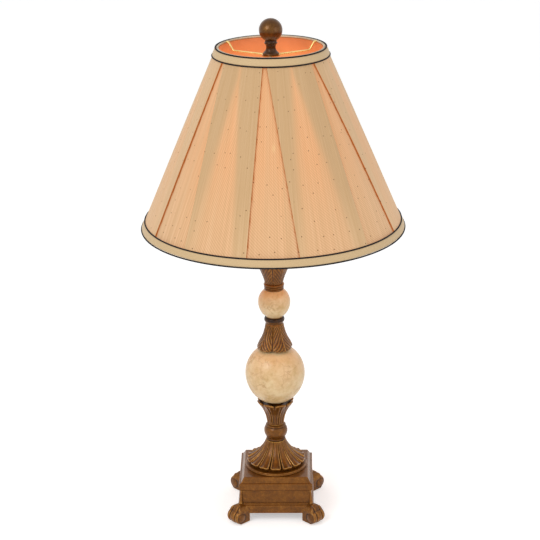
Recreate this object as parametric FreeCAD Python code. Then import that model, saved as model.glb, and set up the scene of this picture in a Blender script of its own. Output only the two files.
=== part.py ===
# Column table lamp: scroll feet, square plinth, turned column of two balls between leaf
# castings, socket with bulb, harp, and a pleated empire shade held by a ball finial.
# Millimetres. +Z is up, the floor is z = 0, the column's axis is x = y = 0, the front is -Y.
import FreeCAD, Part
import math
import os

V = FreeCAD.Vector
AXIS = V(0, 0, 1)
os.makedirs("parts", exist_ok=True)

# ---------------------------------------------------------------- clearances
touch_gap = 0.2          # between nested pieces that are glued or pressed together
running_gap = 0.3        # between pieces that move on each other
thread_gap = 0.08        # radial, in the finial's thread

# ---------------------------------------------------------------- feet and plinth
pad_thickness = 1.5
pad_length = 14.0
pad_width = 18.0
foot_reach = 99.0        # axis to the scroll's outermost point, along the diagonal
foot_width = 24.0        # across the diagonal
foot_overlap = 13.85      # of the foot past the molding's corner, along the diagonal
scroll_radius = 11.0
knee_setback = 14.5      # from the scroll's outermost point back to the knee
neck_bulge = 1.1         # of the neck between scroll and knee, outwards
foot_groove_radius = 1.5
foot_groove_spacing = 8.0
under_base = 15.0        # floor to the underside of the molding

foot_screw_radius = 1.8
foot_screw_head_radius = 3.6
foot_screw_head_height = 2.4
foot_screw_depth = 10.0  # into the molding
foot_screw_inset = 7.0   # from the foot's inner end to the screw

molding_side = 120.0
molding_height = 16.0
molding_edge_height = 3.5
molding_edge_inset = 3.6
molding_wall = 14.0
molding_ceiling = 4.0
molding_hole_radius = 22.0

cover_thickness = 1.8
weight_thickness = 9.0
weight_margin = 1.5      # around the weight in the molding's cavity

block_side = 108.4
block_height = 22.0
block_wall = 8.0
block_ceiling = 4.0
corner_post_low_radius = 3.2    # tapered bead on each of the block's corners
corner_post_high_radius = 1.6
corner_post_low_lean = 1.9      # bead's axis outside the block's corner
corner_post_high_lean = 0.4
corner_post_skirt = 2.4         # of the bead below the block, over the molding's sloped edge
block_flare = 1.6        # widening at the block's bottom
block_flare_height = 3.0

cap_side = 116.0
cap_top_side = 100.4
cap_band_height = 12.5
cap_slope_height = 8.5
cap_step = 4.0           # horizontal shoulder at the start of the slope
cap_step_rise = 1.5

inlet_height = 11.0      # cord inlet's centre above the block's bottom
inlet_bore_radius = 3.2
inlet_wall = 1.6
inlet_flange_radius = 7.0
inlet_flange_thickness = 1.6

# ---------------------------------------------------------------- rod through the column
rod_radius = 4.85
rod_bore_radius = 3.7
rod_gap = 0.3            # radial, in the pieces threaded over the rod
rod_tail = 10.0          # rod below the block's ceiling
rod_nose = 11.0          # rod above the harp saddle
washer_radius = 15.0
washer_thickness = 1.6
nut_flats = 16.0
nut_height = 5.5

# ---------------------------------------------------------------- turned column
disc_radius = 49.3
disc_height = 4.5
disc_line = 0.7          # step of the line round the rim
disc_line_height = 2.5
flute_height = 40.0
flute_top_radius = 15.6
flute_rim_radius = 46.5
flute_rim_rise = 4.0
flute_rim_thickness = 3.0
flute_lobes = 14
flute_cut_radius = 6.0
flute_cut_depth = 1.6

neck_ring_height = 3.5
neck_ring_radius = 15.3

knob_height = 23.5
knob_radius = 18.8
knob_end_radius = 13.4
knob_shoulder_radius = 16.2
knob_shoulder_height = 3.2

vase_height = 38.6       # up to the ball's seat
vase_foot_radius = 13.4
vase_rim_radius = 29.0
vase_rim_rise = 4.0      # rim above the ball's seat
vase_rim_thickness = 2.4
vase_dish_depth = 7.0
vase_lobes = 8
vase_notch_radius = 2.2

large_ball_radius = 47.0
large_ball_stretch = 1.09   # lower half's height against a sphere's
large_ball_seat_radius = 11.0
large_ball_top_radius = 10.0

bell_height = 37.0
bell_top_radius = 14.3
bell_rim_radius = 28.0
bell_rim_drop = 2.5      # leaf tips below the ball's top
bell_wall = 3.0
bell_hub_radius = 11.0
bell_leaves = 4
bell_notch_width = 5.0

middle_collar_height = 12.5
middle_collar_radius = 15.9
middle_collar_neck = 13.5

small_ball_radius = 25.15
small_ball_stretch = 1.09
small_ball_seat_radius = 13.0
small_ball_top_radius = 14.6

upper_collar_height = 10.4
upper_collar_radius = 16.1

cup_height = 48.0
cup_foot_radius = 14.0
cup_rim_radius = 28.0
cup_wall = 4.0
cup_floor = 16.0

vase_cap_radius = 29.5
vase_cap_height = 5.0
vase_cap_edge = 1.6

neck_tube_height = 50.5
neck_tube_radius = 6.6

# ---------------------------------------------------------------- harp
harp_height = 254.0      # saddle seat to the flange that carries the shade
harp_width = 112.0       # between the wire's centre lines
harp_wire_radius = 1.6
harp_leg_spacing = 56.0  # between the straight lower legs
harp_leg_margin = 10.7   # straight leg above the ferrule's highest place, to the bend
harp_widest_height = 116.0
harp_shoulder_radius = 46.0
harp_bend_radius = 34.0

saddle_thickness = 1.6
saddle_strip_width = 12.7
saddle_flat_half = 15.5
saddle_shoulder_height = 17.0
saddle_post_width = 3.0
saddle_post_thickness = 1.2
saddle_post_height = 11.0

ferrule_height = 12.0
ferrule_bore_radius = 2.9
ferrule_wall = 0.9
ferrule_travel = 12.0
ferrule_rim = 0.7

swivel_radius = 4.6
swivel_height = 8.0
swivel_flange_radius = 8.0
swivel_flange_thickness = 2.6
stud_radius = 3.1
stud_length = 11.0

# ---------------------------------------------------------------- socket and switch
socket_cap_height = 17.0
socket_cap_radius = 17.4
socket_cap_wall = 0.6
socket_cap_hub_radius = 7.5
socket_cap_hub_height = 5.0
socket_shell_radius = 16.6
socket_shell_wall = 0.5
socket_shell_height = 45.0
socket_shell_overlap = 4.0
socket_liner_wall = 0.7
socket_body_height = 20.0
socket_thread_radius = 13.9
socket_thread_wall = 0.4
socket_thread_height = 24.0
socket_contact_radius = 3.4
socket_contact_height = 2.0

switch_drop = 7.0        # shaft's axis below the top of the socket body
switch_shaft_radius = 1.6
switch_shaft_reach = 20.0   # outside the socket shell
switch_shaft_depth = 7.0    # inside the socket body
switch_knob_radius = 5.2
switch_knob_length = 13.0
switch_knob_waist = 1.2
switch_knob_ribs = 12

# ---------------------------------------------------------------- bulb
bulb_length = 106.0
bulb_radius = 30.0
bulb_base_radius = 12.9
bulb_base_height = 22.0
bulb_base_wall = 0.4
bulb_neck_radius = 12.2
bulb_tip_radius = 4.0
bulb_tip_height = 2.0
bulb_glass_wall = 0.9
bulb_stem_radius = 3.6
bulb_stem_height = 30.0
filament_radius = 0.5
filament_span = 18.0

# ---------------------------------------------------------------- shade
spider_drop = 14.1       # shade's top edge above the washer's middle
shade_height = 279.2
shade_top_radius = 82.4
shade_bottom_radius = 202.2
band_height = 9.6
band_thickness = 2.4
piping_radius = 1.1
piping_proud = 0.5
fabric_thickness = 3.2
lining_thickness = 1.0
ring_wire_radius = 1.6
ring_set_in = 1.0        # bottom ring, further in than the band needs
pleat_count = 7
pleat_depth = 2.0
pleat_top_width = 1.6
pleat_bottom_width = 80.0
spider_wire_radius = 1.5
spider_bend_radius = 5.0
spider_rise_run = 8.5    # horizontal run of the arm's rising stretch
spider_end_run = 4.5     # level run beside the top ring
spider_arm_count = 3
spider_washer_radius = 13.5
spider_washer_thickness = 1.5

# ---------------------------------------------------------------- finial
finial_ball_radius = 17.5
finial_base_radius = 11.8
finial_neck_radius = 6.95
finial_collar_radius = 9.4
finial_height = 54.0
finial_base_height = 4.0
finial_collar_height = 4.5
finial_insert_radius = 5.0
finial_insert_height = 14.0

# ================================================================ levels, bottom to top
molding_z = under_base
block_z = molding_z + molding_height
cap_z = block_z + block_height
disc_z = cap_z + cap_band_height + cap_slope_height
neck_ring_z = disc_z + disc_height + flute_height
knob_z = neck_ring_z + neck_ring_height
vase_z = knob_z + knob_height
large_ball_z = vase_z + vase_height


def cap_of(radius, flat_radius):
    """Share of a ball's half height that is left above a flat of the given radius."""
    return math.sqrt(1 - (flat_radius / radius) ** 2)


large_ball_low = large_ball_radius * large_ball_stretch
large_ball_centre = large_ball_z + large_ball_low * cap_of(large_ball_radius, large_ball_seat_radius)
bell_z = large_ball_centre + large_ball_radius * cap_of(large_ball_radius, large_ball_top_radius)
middle_collar_z = bell_z + bell_height
small_ball_z = middle_collar_z + middle_collar_height
small_ball_low = small_ball_radius * small_ball_stretch
small_ball_centre = small_ball_z + small_ball_low * cap_of(small_ball_radius, small_ball_seat_radius)
upper_collar_z = small_ball_centre + small_ball_radius * cap_of(small_ball_radius, small_ball_top_radius)
cup_z = upper_collar_z + upper_collar_height
vase_cap_z = cup_z + cup_height
neck_tube_z = vase_cap_z + vase_cap_height
saddle_z = neck_tube_z + neck_tube_height
socket_z = saddle_z + saddle_thickness
flange_z = saddle_z + harp_height
washer_z = flange_z + running_gap
finial_z = washer_z + spider_washer_thickness + running_gap
shade_top_z = washer_z + spider_washer_thickness / 2 + spider_drop
shade_bottom_z = shade_top_z - shade_height
rod_bottom_z = cap_z - block_ceiling - rod_tail
rod_top_z = socket_z + rod_nose
rod_hole_radius = rod_radius + rod_gap
foot_inner = molding_side * math.sqrt(0.5) - foot_overlap


# ================================================================ helpers
def edges_of(start, steps, place):
    """Edges from start on: a step of two numbers is a line, one of four an arc's middle and end."""
    edges = []
    here = place(*start)
    for step in steps:
        end = place(*step[-2:])
        if len(step) == 4:
            edges.append(Part.Arc(here, place(*step[:2]), end).toShape())
        else:
            edges.append(Part.LineSegment(here, end).toShape())
        here = end
    return edges


def face_of(start, steps, place):
    """A face whose outline starts and ends at start."""
    return Part.Face(Part.Wire(edges_of(start, list(steps) + [start], place)))


def turned(start, *steps):
    """A solid turned about Z from an outline of (radius, z) points."""
    face = face_of(start, steps, lambda r, z: V(r, 0, z))
    return face.revolve(V(0, 0, 0), AXIS, 360)


def tube(outer, inner, z, height):
    """A round tube, or a disc with a hole, standing on z."""
    return turned((inner, z), (outer, z), (outer, z + height), (inner, z + height))


def rod(radius, z, height):
    return Part.makeCylinder(radius, height, V(0, 0, z))


def square(side, z):
    half = side / 2
    corners = [V(-half, -half, z), V(half, -half, z), V(half, half, z), V(-half, half, z)]
    return Part.makePolygon(corners + corners[:1])


def square_stack(*levels):
    """A solid through centred squares, each given as (side, z)."""
    return Part.makeLoft([square(side, z) for side, z in levels], True, True)


def square_block(side, z, height):
    return square_stack((side, z), (side, z + height))


def turn_copy(shape, angle):
    copy = shape.copy()
    copy.rotate(V(0, 0, 0), AXIS, angle)
    return copy


def around(shape, count, start=0.0):
    """Copies of a shape at equal turns about the column's axis."""
    return [turn_copy(shape, start + 360.0 * i / count) for i in range(count)]


def bent_path(points, bends):
    """A wire of straight runs joined by tangent arcs; bends holds each inner corner's radius."""
    edges = []
    here = points[0]
    for corner, after, radius in zip(points[1:], points[2:], bends):
        back = (here - corner).normalize()
        ahead = (after - corner).normalize()
        turn = math.pi - back.getAngle(ahead)
        reach = radius * math.tan(turn / 2)
        start = corner + back * reach
        end = corner + ahead * reach
        sag = radius / math.cos(turn / 2) - radius
        middle = corner + (back + ahead).normalize() * sag
        edges.append(Part.LineSegment(here, start).toShape())
        edges.append(Part.Arc(start, middle, end).toShape())
        here = end
    edges.append(Part.LineSegment(here, points[-1]).toShape())
    return Part.Wire(edges)


def wire_along(points, bends, radius):
    """Round wire of the given radius along a bent path."""
    path = bent_path(points, bends)
    way = points[1] - points[0]
    section = Part.Wire(Part.makeCircle(radius, points[0], way))
    return path.makePipeShell([section], True, False)


def ring_wire(ring_radius, wire_radius, z):
    return Part.makeTorus(ring_radius, wire_radius, V(0, 0, z))


def save(node, shape):
    """One file per node; a group of equal pieces is a list of solids."""
    solid = Part.makeCompound(shape) if isinstance(shape, list) else shape
    solid.exportStep("parts/" + node + ".step")


# ================================================================ feet
def scroll_foot():
    """A bracket along +X: flat below, a scroll outside, and a back as round as a barrel."""
    bottom = pad_thickness
    top = molding_z + molding_height
    centre = foot_reach - scroll_radius
    middle_z = bottom + scroll_radius
    knee = foot_reach - knee_setback
    rise = math.radians(55)
    scroll_end = (centre + scroll_radius * math.cos(rise), middle_z + scroll_radius * math.sin(rise))
    neck = ((scroll_end[0] + knee) / 2 + neck_bulge, (scroll_end[1] + top) / 2 + neck_bulge)
    steps = [(centre, bottom), (foot_reach, middle_z) + scroll_end, neck + (knee, top), (foot_inner, top)]
    face = face_of((foot_inner, bottom), steps, lambda u, z: V(u, -foot_width / 2, z))
    bracket = face.extrude(V(0, foot_width, 0))
    half = foot_width / 2
    back = Part.makeCylinder(half, 2 * foot_reach, V(0, 0, top - half), V(1, 0, 0))
    return bracket.common(back.fuse(Part.makeBox(2 * foot_reach, foot_width, top - half, V(0, -half, 0))))


def foot_grooves():
    """Rounded grooves that part the scroll's outer face into ribs."""
    centre = foot_reach - scroll_radius
    middle_z = pad_thickness + scroll_radius
    grooves = []
    for side in (-0.5, 0.5):
        middle = V(centre, side * foot_groove_spacing, middle_z)
        grooves.append(Part.makeTorus(scroll_radius, foot_groove_radius, middle, V(0, 1, 0)))
    sole_top = pad_thickness + foot_groove_radius + 0.5
    sole = Part.makeBox(4 * scroll_radius, foot_width, scroll_radius,
                        V(centre - 2 * scroll_radius, -foot_width / 2, sole_top - scroll_radius))
    return [groove.cut(sole) for groove in grooves]


molding_core = square_block(molding_side, molding_z, molding_height + 1)
foot_screw_u = foot_inner + foot_screw_inset
foot_screw_top = molding_z + foot_screw_depth
foot_screw_head_z = pad_thickness + foot_screw_head_height
foot_screw_length = foot_screw_top - foot_screw_head_z
screw_head = Part.makeCylinder(foot_screw_head_radius, foot_screw_head_height,
                               V(foot_screw_u, 0, foot_screw_head_z))
screw_shank = Part.makeCylinder(foot_screw_radius, foot_screw_length, V(foot_screw_u, 0, foot_screw_head_z))
foot_screw = screw_head.fuse(screw_shank)
screw_clear = Part.makeCylinder(foot_screw_radius + touch_gap, foot_screw_length + touch_gap,
                                V(foot_screw_u, 0, foot_screw_head_z))
head_clear = Part.makeCylinder(foot_screw_head_radius + touch_gap,
                               2 * foot_screw_head_height + touch_gap, V(foot_screw_u, 0, pad_thickness))
foot = scroll_foot().cut(turn_copy(molding_core, 45))
foot = foot.cut(Part.makeCompound(foot_grooves()))
foot = foot.cut(screw_clear).cut(head_clear)
foot_names = ("foot_rear_right", "foot_rear_left", "foot_front_left", "foot_front_right")
for name, piece in zip(foot_names, around(foot, 4, 45)):
    save(name, piece)
save("foot_screws", around(foot_screw, 4, 45))

pad = Part.makeBox(pad_length, pad_width, pad_thickness, V(foot_inner + 1, -pad_width / 2, 0))
save("felt_pads", around(pad, 4, 45))

# ================================================================ plinth
cavity_side = molding_side - 2 * molding_wall
molding_shoulder_z = molding_z + molding_height - molding_edge_height
molding = square_stack((molding_side, molding_z), (molding_side, molding_shoulder_z),
                       (molding_side - 2 * molding_edge_inset, molding_z + molding_height))
molding = molding.cut(square_block(cavity_side, molding_z, molding_height - molding_ceiling))
molding = molding.cut(rod(molding_hole_radius, molding_z, molding_height))
molding = molding.cut(Part.makeCompound(around(screw_clear, 4, 45)))
save("base_molding", molding)

cover = square_block(cavity_side - 2 * touch_gap, molding_z, cover_thickness)
save("bottom_cover", cover)
weight = square_block(cavity_side - 2 * weight_margin, molding_z + cover_thickness, weight_thickness)
save("base_weight", weight)

block = square_stack((block_side + 2 * block_flare, block_z), (block_side, block_z + block_flare_height),
                     (block_side, cap_z))
block = block.cut(square_block(block_side - 2 * block_wall, block_z, block_height - block_ceiling))


def corner_post():
    """Tapered bead up one corner of the block; its foot follows the molding's sloped edge."""
    ends = []
    for lean, radius, z in ((corner_post_low_lean, corner_post_low_radius, block_z - corner_post_skirt),
                            (corner_post_high_lean, corner_post_high_radius, cap_z)):
        middle = V(block_side / 2 + lean, block_side / 2 + lean, z)
        ends.append(Part.Wire(Part.makeCircle(radius, middle)))
    return Part.makeLoft(ends, True).cut(molding)


for post in around(corner_post(), 4):
    block = block.fuse(post)
block = block.cut(rod(rod_hole_radius, block_z, block_height))
inlet_z = block_z + inlet_height
inlet_outer = inlet_bore_radius + inlet_wall
inlet_face = block_side / 2
inlet_inside = inlet_face - block_wall


def inlet_round(radius, y, length):
    """A cylinder on the cord inlet's axis, from y towards the rear."""
    return Part.makeCylinder(radius, length, V(0, y, inlet_z), V(0, 1, 0))


save("plinth_block", block.cut(inlet_round(inlet_outer + touch_gap, inlet_inside - 1, block_wall + 2)))
bushing = inlet_round(inlet_outer, inlet_inside, block_wall)
bushing = bushing.fuse(inlet_round(inlet_flange_radius, inlet_face, inlet_flange_thickness))
save("cord_bushing", bushing.cut(inlet_round(inlet_bore_radius, inlet_inside, 2 * block_wall)))

cap_band_top = cap_z + cap_band_height
plinth_cap = square_stack((cap_side, cap_z), (cap_side, cap_band_top),
                          (cap_side - 2 * cap_step, cap_band_top + cap_step_rise), (cap_top_side, disc_z))
save("plinth_cap", plinth_cap.cut(rod(rod_hole_radius, cap_z, disc_z - cap_z)))

# ================================================================ rod, nut and washer
save("threaded_rod", tube(rod_radius, rod_bore_radius, rod_bottom_z, rod_top_z - rod_bottom_z))
washer_low = cap_z - block_ceiling - washer_thickness
save("rod_washer", tube(washer_radius, rod_hole_radius, washer_low, washer_thickness))
nut_corner = nut_flats / math.sqrt(3)
hexagon = [V(nut_corner * math.cos(math.radians(60 * i)), nut_corner * math.sin(math.radians(60 * i)),
             washer_low - nut_height) for i in range(7)]
nut = Part.Face(Part.makePolygon(hexagon)).extrude(V(0, 0, nut_height))
save("rod_nut", nut.cut(rod(rod_radius + touch_gap, washer_low - nut_height, nut_height)))


# ================================================================ column castings
def fluted_foot():
    """Flared foot of scalloped lobes whose tips lift off the disc below it."""
    low = disc_z + disc_height
    top = low + flute_height
    rim_top = low + flute_rim_rise + flute_rim_thickness
    hip = (0.79 * flute_rim_radius, low + 0.195 * flute_height)
    waist = (1.19 * flute_top_radius, low + 0.775 * flute_height)
    body = turned((rod_hole_radius, low), (0.83 * flute_rim_radius, low),
                  (0.925 * flute_rim_radius, low + 0.29 * flute_rim_rise,
                   flute_rim_radius, low + flute_rim_rise),
                  (0.983 * flute_rim_radius, rim_top), hip,
                  (0.475 * flute_rim_radius, low + 0.385 * flute_height) + waist,
                  (flute_top_radius, top), (rod_hole_radius, top))
    valley = wire_along([V(flute_rim_radius + flute_cut_radius - flute_cut_depth, 0, low - 2),
                         V(flute_rim_radius + flute_cut_radius - flute_cut_depth - 1.0, 0, rim_top + 2)], [],
                        flute_cut_radius)
    return body.cut(Part.makeCompound(around(valley, flute_lobes, 180.0 / flute_lobes)))


disc_top = disc_z + disc_height
disc_line_z = disc_z + disc_line_height
disc = turned((rod_hole_radius, disc_z), (disc_radius - disc_line, disc_z),
              (disc_radius, disc_z + disc_line), (disc_radius, disc_line_z),
              (disc_radius - disc_line, disc_line_z + 0.2), (disc_radius - disc_line, disc_top - disc_line),
              (disc_radius - 2 * disc_line, disc_top), (rod_hole_radius, disc_top))
save("foot_disc", disc)
save("fluted_foot", fluted_foot())

ring_mid = neck_ring_z + neck_ring_height / 2
save("neck_ring", turned((rod_hole_radius, neck_ring_z), (neck_ring_radius - 0.8, neck_ring_z),
                         (neck_ring_radius, ring_mid, neck_ring_radius - 0.8, neck_ring_z + neck_ring_height),
                         (rod_hole_radius, neck_ring_z + neck_ring_height)))

knob_top = knob_z + knob_height
knob_shoulder_z = knob_top - knob_shoulder_height
knob_mid = knob_z + (knob_height - knob_shoulder_height) / 2
save("knob", turned((rod_hole_radius, knob_z), (knob_end_radius, knob_z),
                    (knob_radius, knob_mid, knob_end_radius + 0.6, knob_shoulder_z),
                    (knob_shoulder_radius - 0.9, knob_shoulder_z),
                    (knob_shoulder_radius, knob_shoulder_z + 1.0),
                    (knob_shoulder_radius - 1.0, knob_shoulder_z + 2.2),
                    (knob_end_radius, knob_top), (rod_hole_radius, knob_top)))


def leaf_vase():
    """Flower-shaped cup: a ribbed stem that opens into lobes with rolled edges."""
    rim_z = large_ball_z + vase_rim_rise
    stem = (vase_foot_radius + 0.4, vase_z + 4.7)
    throat = (vase_foot_radius + 6.9, vase_z + 25.8)
    dish = large_ball_z - vase_dish_depth
    body = turned((rod_hole_radius, vase_z), (vase_foot_radius, vase_z), stem,
                  (vase_foot_radius + 2.5, vase_z + 15.0) + throat,
                  (vase_rim_radius - 4.4, rim_z - 4.6, vase_rim_radius, rim_z - 0.6),
                  (vase_rim_radius - 0.9, rim_z + 0.5, vase_rim_radius - vase_rim_thickness, rim_z),
                  (vase_rim_radius - 8.0, dish + 0.9, large_ball_seat_radius + 4.0, dish),
                  (large_ball_seat_radius, dish + 1.5), (large_ball_seat_radius, large_ball_z),
                  (rod_hole_radius, large_ball_z))
    notch = Part.makeCylinder(vase_notch_radius, 14.0, V(vase_rim_radius + 0.6, 0, rim_z - 12.0))
    return body.cut(Part.makeCompound(around(notch, vase_lobes, 90)))


save("leaf_vase", leaf_vase())


def ball(radius, low_height, centre, low_flat, top_flat):
    """A ball with flats above and below and a hole for the rod; its lower half may be longer."""
    bottom = centre - low_height * cap_of(radius, low_flat)
    top = centre + radius * cap_of(radius, top_flat)
    lower = Part.makeSphere(radius, V(0, 0, 0), AXIS, -90, 0, 360)
    stretch = FreeCAD.Matrix()
    stretch.scale(1, 1, low_height / radius)
    lower = lower.transformGeometry(stretch)
    lower.translate(V(0, 0, centre))
    upper = Part.makeSphere(radius, V(0, 0, centre), AXIS, 0, 90, 360)
    keep = rod(radius + 1, bottom, top - bottom)
    return upper.fuse(lower).common(keep).cut(rod(rod_hole_radius, bottom, top - bottom))


save("large_ball", ball(large_ball_radius, large_ball_low, large_ball_centre,
                        large_ball_seat_radius, large_ball_top_radius))


def leaf_bell():
    """Skirt of broad leaves that hangs over the top of the large ball."""
    top = bell_z + bell_height
    rim_z = bell_z - bell_rim_drop
    shoulder = (bell_top_radius + 4.4, bell_z + 18.3)
    body = turned((rod_hole_radius, bell_z), (bell_hub_radius, bell_z), (bell_hub_radius, bell_z + 5.0),
                  (bell_rim_radius - bell_wall - 5.0, bell_z + 6.0),
                  (bell_rim_radius - bell_wall, rim_z + 0.4), (bell_rim_radius - 0.8, rim_z),
                  (bell_rim_radius - 2.5, bell_z + 5.5) + shoulder,
                  (bell_top_radius + 1.4, bell_z + 29.0, bell_top_radius, top - 2.0),
                  (bell_top_radius - 0.8, top), (rod_hole_radius, top))
    notch_points = [V(0, -bell_notch_width / 2, rim_z - 1), V(0, bell_notch_width / 2, rim_z - 1),
                    V(0, 0, rim_z + 5.0)]
    notch = Part.Face(Part.makePolygon(notch_points + notch_points[:1])).extrude(V(bell_rim_radius + 2, 0, 0))
    notch = notch.cut(rod(bell_hub_radius + touch_gap, rim_z - 2, 10.0))
    return body.cut(Part.makeCompound(around(notch, bell_leaves, 90)))


save("leaf_bell", leaf_bell())

collar_top = middle_collar_z + middle_collar_height
save("middle_collar", turned((rod_hole_radius, middle_collar_z), (middle_collar_neck, middle_collar_z),
                             (middle_collar_neck, middle_collar_z + 3.2),
                             (middle_collar_radius - 0.6, middle_collar_z + 4.2),
                             (middle_collar_radius, middle_collar_z + 7.4,
                              middle_collar_radius - 0.4, middle_collar_z + 10.4),
                             (small_ball_seat_radius, collar_top), (rod_hole_radius, collar_top)))
save("small_ball", ball(small_ball_radius, small_ball_low, small_ball_centre,
                        small_ball_seat_radius, small_ball_top_radius))

ring_pitch = upper_collar_height / 3
collar_steps = []
for i in range(3):
    level = upper_collar_z + i * ring_pitch
    groove_radius = upper_collar_radius - 1.1 + 0.1 * i
    collar_steps.append((groove_radius, level))
    collar_steps.append((groove_radius + 1.0, level + ring_pitch / 2, groove_radius, level + ring_pitch))
save("upper_collar", turned((rod_hole_radius, upper_collar_z), *collar_steps,
                            (rod_hole_radius, upper_collar_z + upper_collar_height)))

cup_top = cup_z + cup_height
save("upper_cup", turned((rod_hole_radius, cup_z), (cup_foot_radius - 0.8, cup_z),
                         (cup_foot_radius, cup_z + 1.0),
                         (cup_foot_radius + 2.6, cup_z + 11.5, cup_foot_radius + 6.9, cup_z + 20.8),
                         (cup_rim_radius - 1.6, cup_z + 38.0, cup_rim_radius, cup_top),
                         (cup_rim_radius - cup_wall, cup_top),
                         (cup_foot_radius, cup_z + cup_floor), (rod_hole_radius, cup_z + cup_floor)))

cap_edge_z = vase_cap_z + vase_cap_edge
save("vase_cap", turned((rod_hole_radius, vase_cap_z), (vase_cap_radius, vase_cap_z),
                        (vase_cap_radius, cap_edge_z),
                        (vase_cap_radius - 8.0, cap_edge_z + 1.6, neck_tube_radius + 3.0, neck_tube_z),
                        (rod_hole_radius, neck_tube_z)))
save("neck_tube", tube(neck_tube_radius, rod_hole_radius, neck_tube_z, neck_tube_height))

# ================================================================ harp
leg_x = harp_leg_spacing / 2
post_inner_x = leg_x + harp_wire_radius + touch_gap
shoulder_z = saddle_z + saddle_shoulder_height
ferrule_x = (leg_x - harp_wire_radius + post_inner_x + saddle_post_thickness) / 2
ferrule_z = shoulder_z + running_gap


def harp_saddle():
    """Bent strip: a flat with the rod's hole, two arms that spread, and a post at each end."""
    post_x = post_inner_x + saddle_post_thickness
    inner = saddle_thickness / 2
    outline = [(-saddle_flat_half, saddle_z), (saddle_flat_half, saddle_z),
               (post_x, saddle_z + 9.0), (post_x, shoulder_z), (post_inner_x, shoulder_z),
               (post_inner_x, saddle_z + 9.6), (saddle_flat_half - inner, saddle_z + saddle_thickness),
               (inner - saddle_flat_half, saddle_z + saddle_thickness), (-post_inner_x, saddle_z + 9.6),
               (-post_inner_x, shoulder_z), (-post_x, shoulder_z), (-post_x, saddle_z + 9.0)]
    half = saddle_strip_width / 2
    strip = face_of(outline[0], outline[1:], lambda x, z: V(x, -half, z)).extrude(V(0, saddle_strip_width, 0))
    for side in (post_inner_x, -post_x):
        strip = strip.fuse(Part.makeBox(saddle_post_thickness, saddle_post_width, saddle_post_height,
                                        V(side, -saddle_post_width / 2, shoulder_z)))
    shelf = leg_x - harp_wire_radius - touch_gap
    for side in (shelf, -post_inner_x):
        strip = strip.fuse(Part.makeBox(post_inner_x - shelf, saddle_post_width + 2.0, saddle_thickness,
                                        V(side, -saddle_post_width / 2 - 1.0, shoulder_z - saddle_thickness)))
    return strip.removeSplitter().cut(rod(rod_radius + touch_gap, saddle_z - 1, saddle_thickness + 2))


harp_top_z = flange_z - swivel_flange_thickness - swivel_height / 2
half_width = harp_width / 2
harp_leg_top = ferrule_z + ferrule_height + ferrule_travel + harp_leg_margin
right_side = [V(half_width, 0, harp_top_z), V(half_width, 0, saddle_z + harp_widest_height),
              V(leg_x, 0, harp_leg_top), V(leg_x, 0, shoulder_z)]
left_side = [V(-p.x, 0, p.z) for p in reversed(right_side)]
harp_bends = [harp_bend_radius, harp_bend_radius, harp_shoulder_radius]
harp = wire_along(left_side + right_side, harp_bends + harp_bends[::-1], harp_wire_radius)
save("harp_saddle", harp_saddle())
save("harp_wire", harp)

swivel_z = flange_z - swivel_flange_thickness - swivel_height
swivel = rod(swivel_radius, swivel_z, swivel_height)
swivel = swivel.fuse(rod(swivel_flange_radius, flange_z - swivel_flange_thickness, swivel_flange_thickness))
swivel = swivel.fuse(rod(stud_radius, flange_z, stud_length))
wire_hole = Part.makeCylinder(harp_wire_radius + 0.05, 4 * swivel_radius,
                              V(-2 * swivel_radius, 0, harp_top_z), V(1, 0, 0))
save("harp_swivel", swivel.cut(wire_hole))

for name, side in (("ferrule_left", -1), ("ferrule_right", 1)):
    outer = ferrule_bore_radius + ferrule_wall
    sleeve = turned((ferrule_bore_radius, ferrule_z), (outer + ferrule_rim, ferrule_z),
                    (outer + ferrule_rim, ferrule_z + 1.4), (outer, ferrule_z + 2.2),
                    (outer, ferrule_z + ferrule_height - 1.0),
                    (outer - 0.4, ferrule_z + ferrule_height),
                    (ferrule_bore_radius, ferrule_z + ferrule_height))
    sleeve.translate(V(side * ferrule_x, 0, 0))
    save(name, sleeve)

# ================================================================ socket and switch
socket_cap_top = socket_z + socket_cap_height
cap_inner = socket_cap_radius - socket_cap_wall
hub_top = socket_z + socket_cap_hub_height
dome_mid_z = (hub_top + socket_cap_top - socket_shell_overlap) / 2
dome_mid_r = (socket_cap_hub_radius + socket_cap_radius) / 2 + 2.2
dome_end_z = socket_cap_top - socket_shell_overlap
save("socket_cap", turned((rod_radius + touch_gap, socket_z), (socket_cap_hub_radius, socket_z),
                          (socket_cap_hub_radius, hub_top),
                          (dome_mid_r, dome_mid_z - 1.5, socket_cap_radius, dome_end_z),
                          (socket_cap_radius, socket_cap_top), (cap_inner, socket_cap_top),
                          (cap_inner, dome_end_z),
                          (dome_mid_r - socket_cap_wall, dome_mid_z - 0.6,
                           socket_cap_hub_radius - 0.4, hub_top + socket_cap_wall),
                          (rod_radius + touch_gap, hub_top + socket_cap_wall)))

shell_z = dome_end_z + touch_gap
liner_radius = socket_shell_radius - socket_shell_wall - touch_gap
body_radius = liner_radius - socket_liner_wall - touch_gap
body_top = shell_z + socket_body_height
shaft_z = body_top - switch_drop


def side_hole(radius):
    """A hole from the axis towards the front, for the switch shaft."""
    return Part.makeCylinder(radius, 3 * socket_shell_radius, V(0, 0, shaft_z), V(0, -1, 0))


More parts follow.
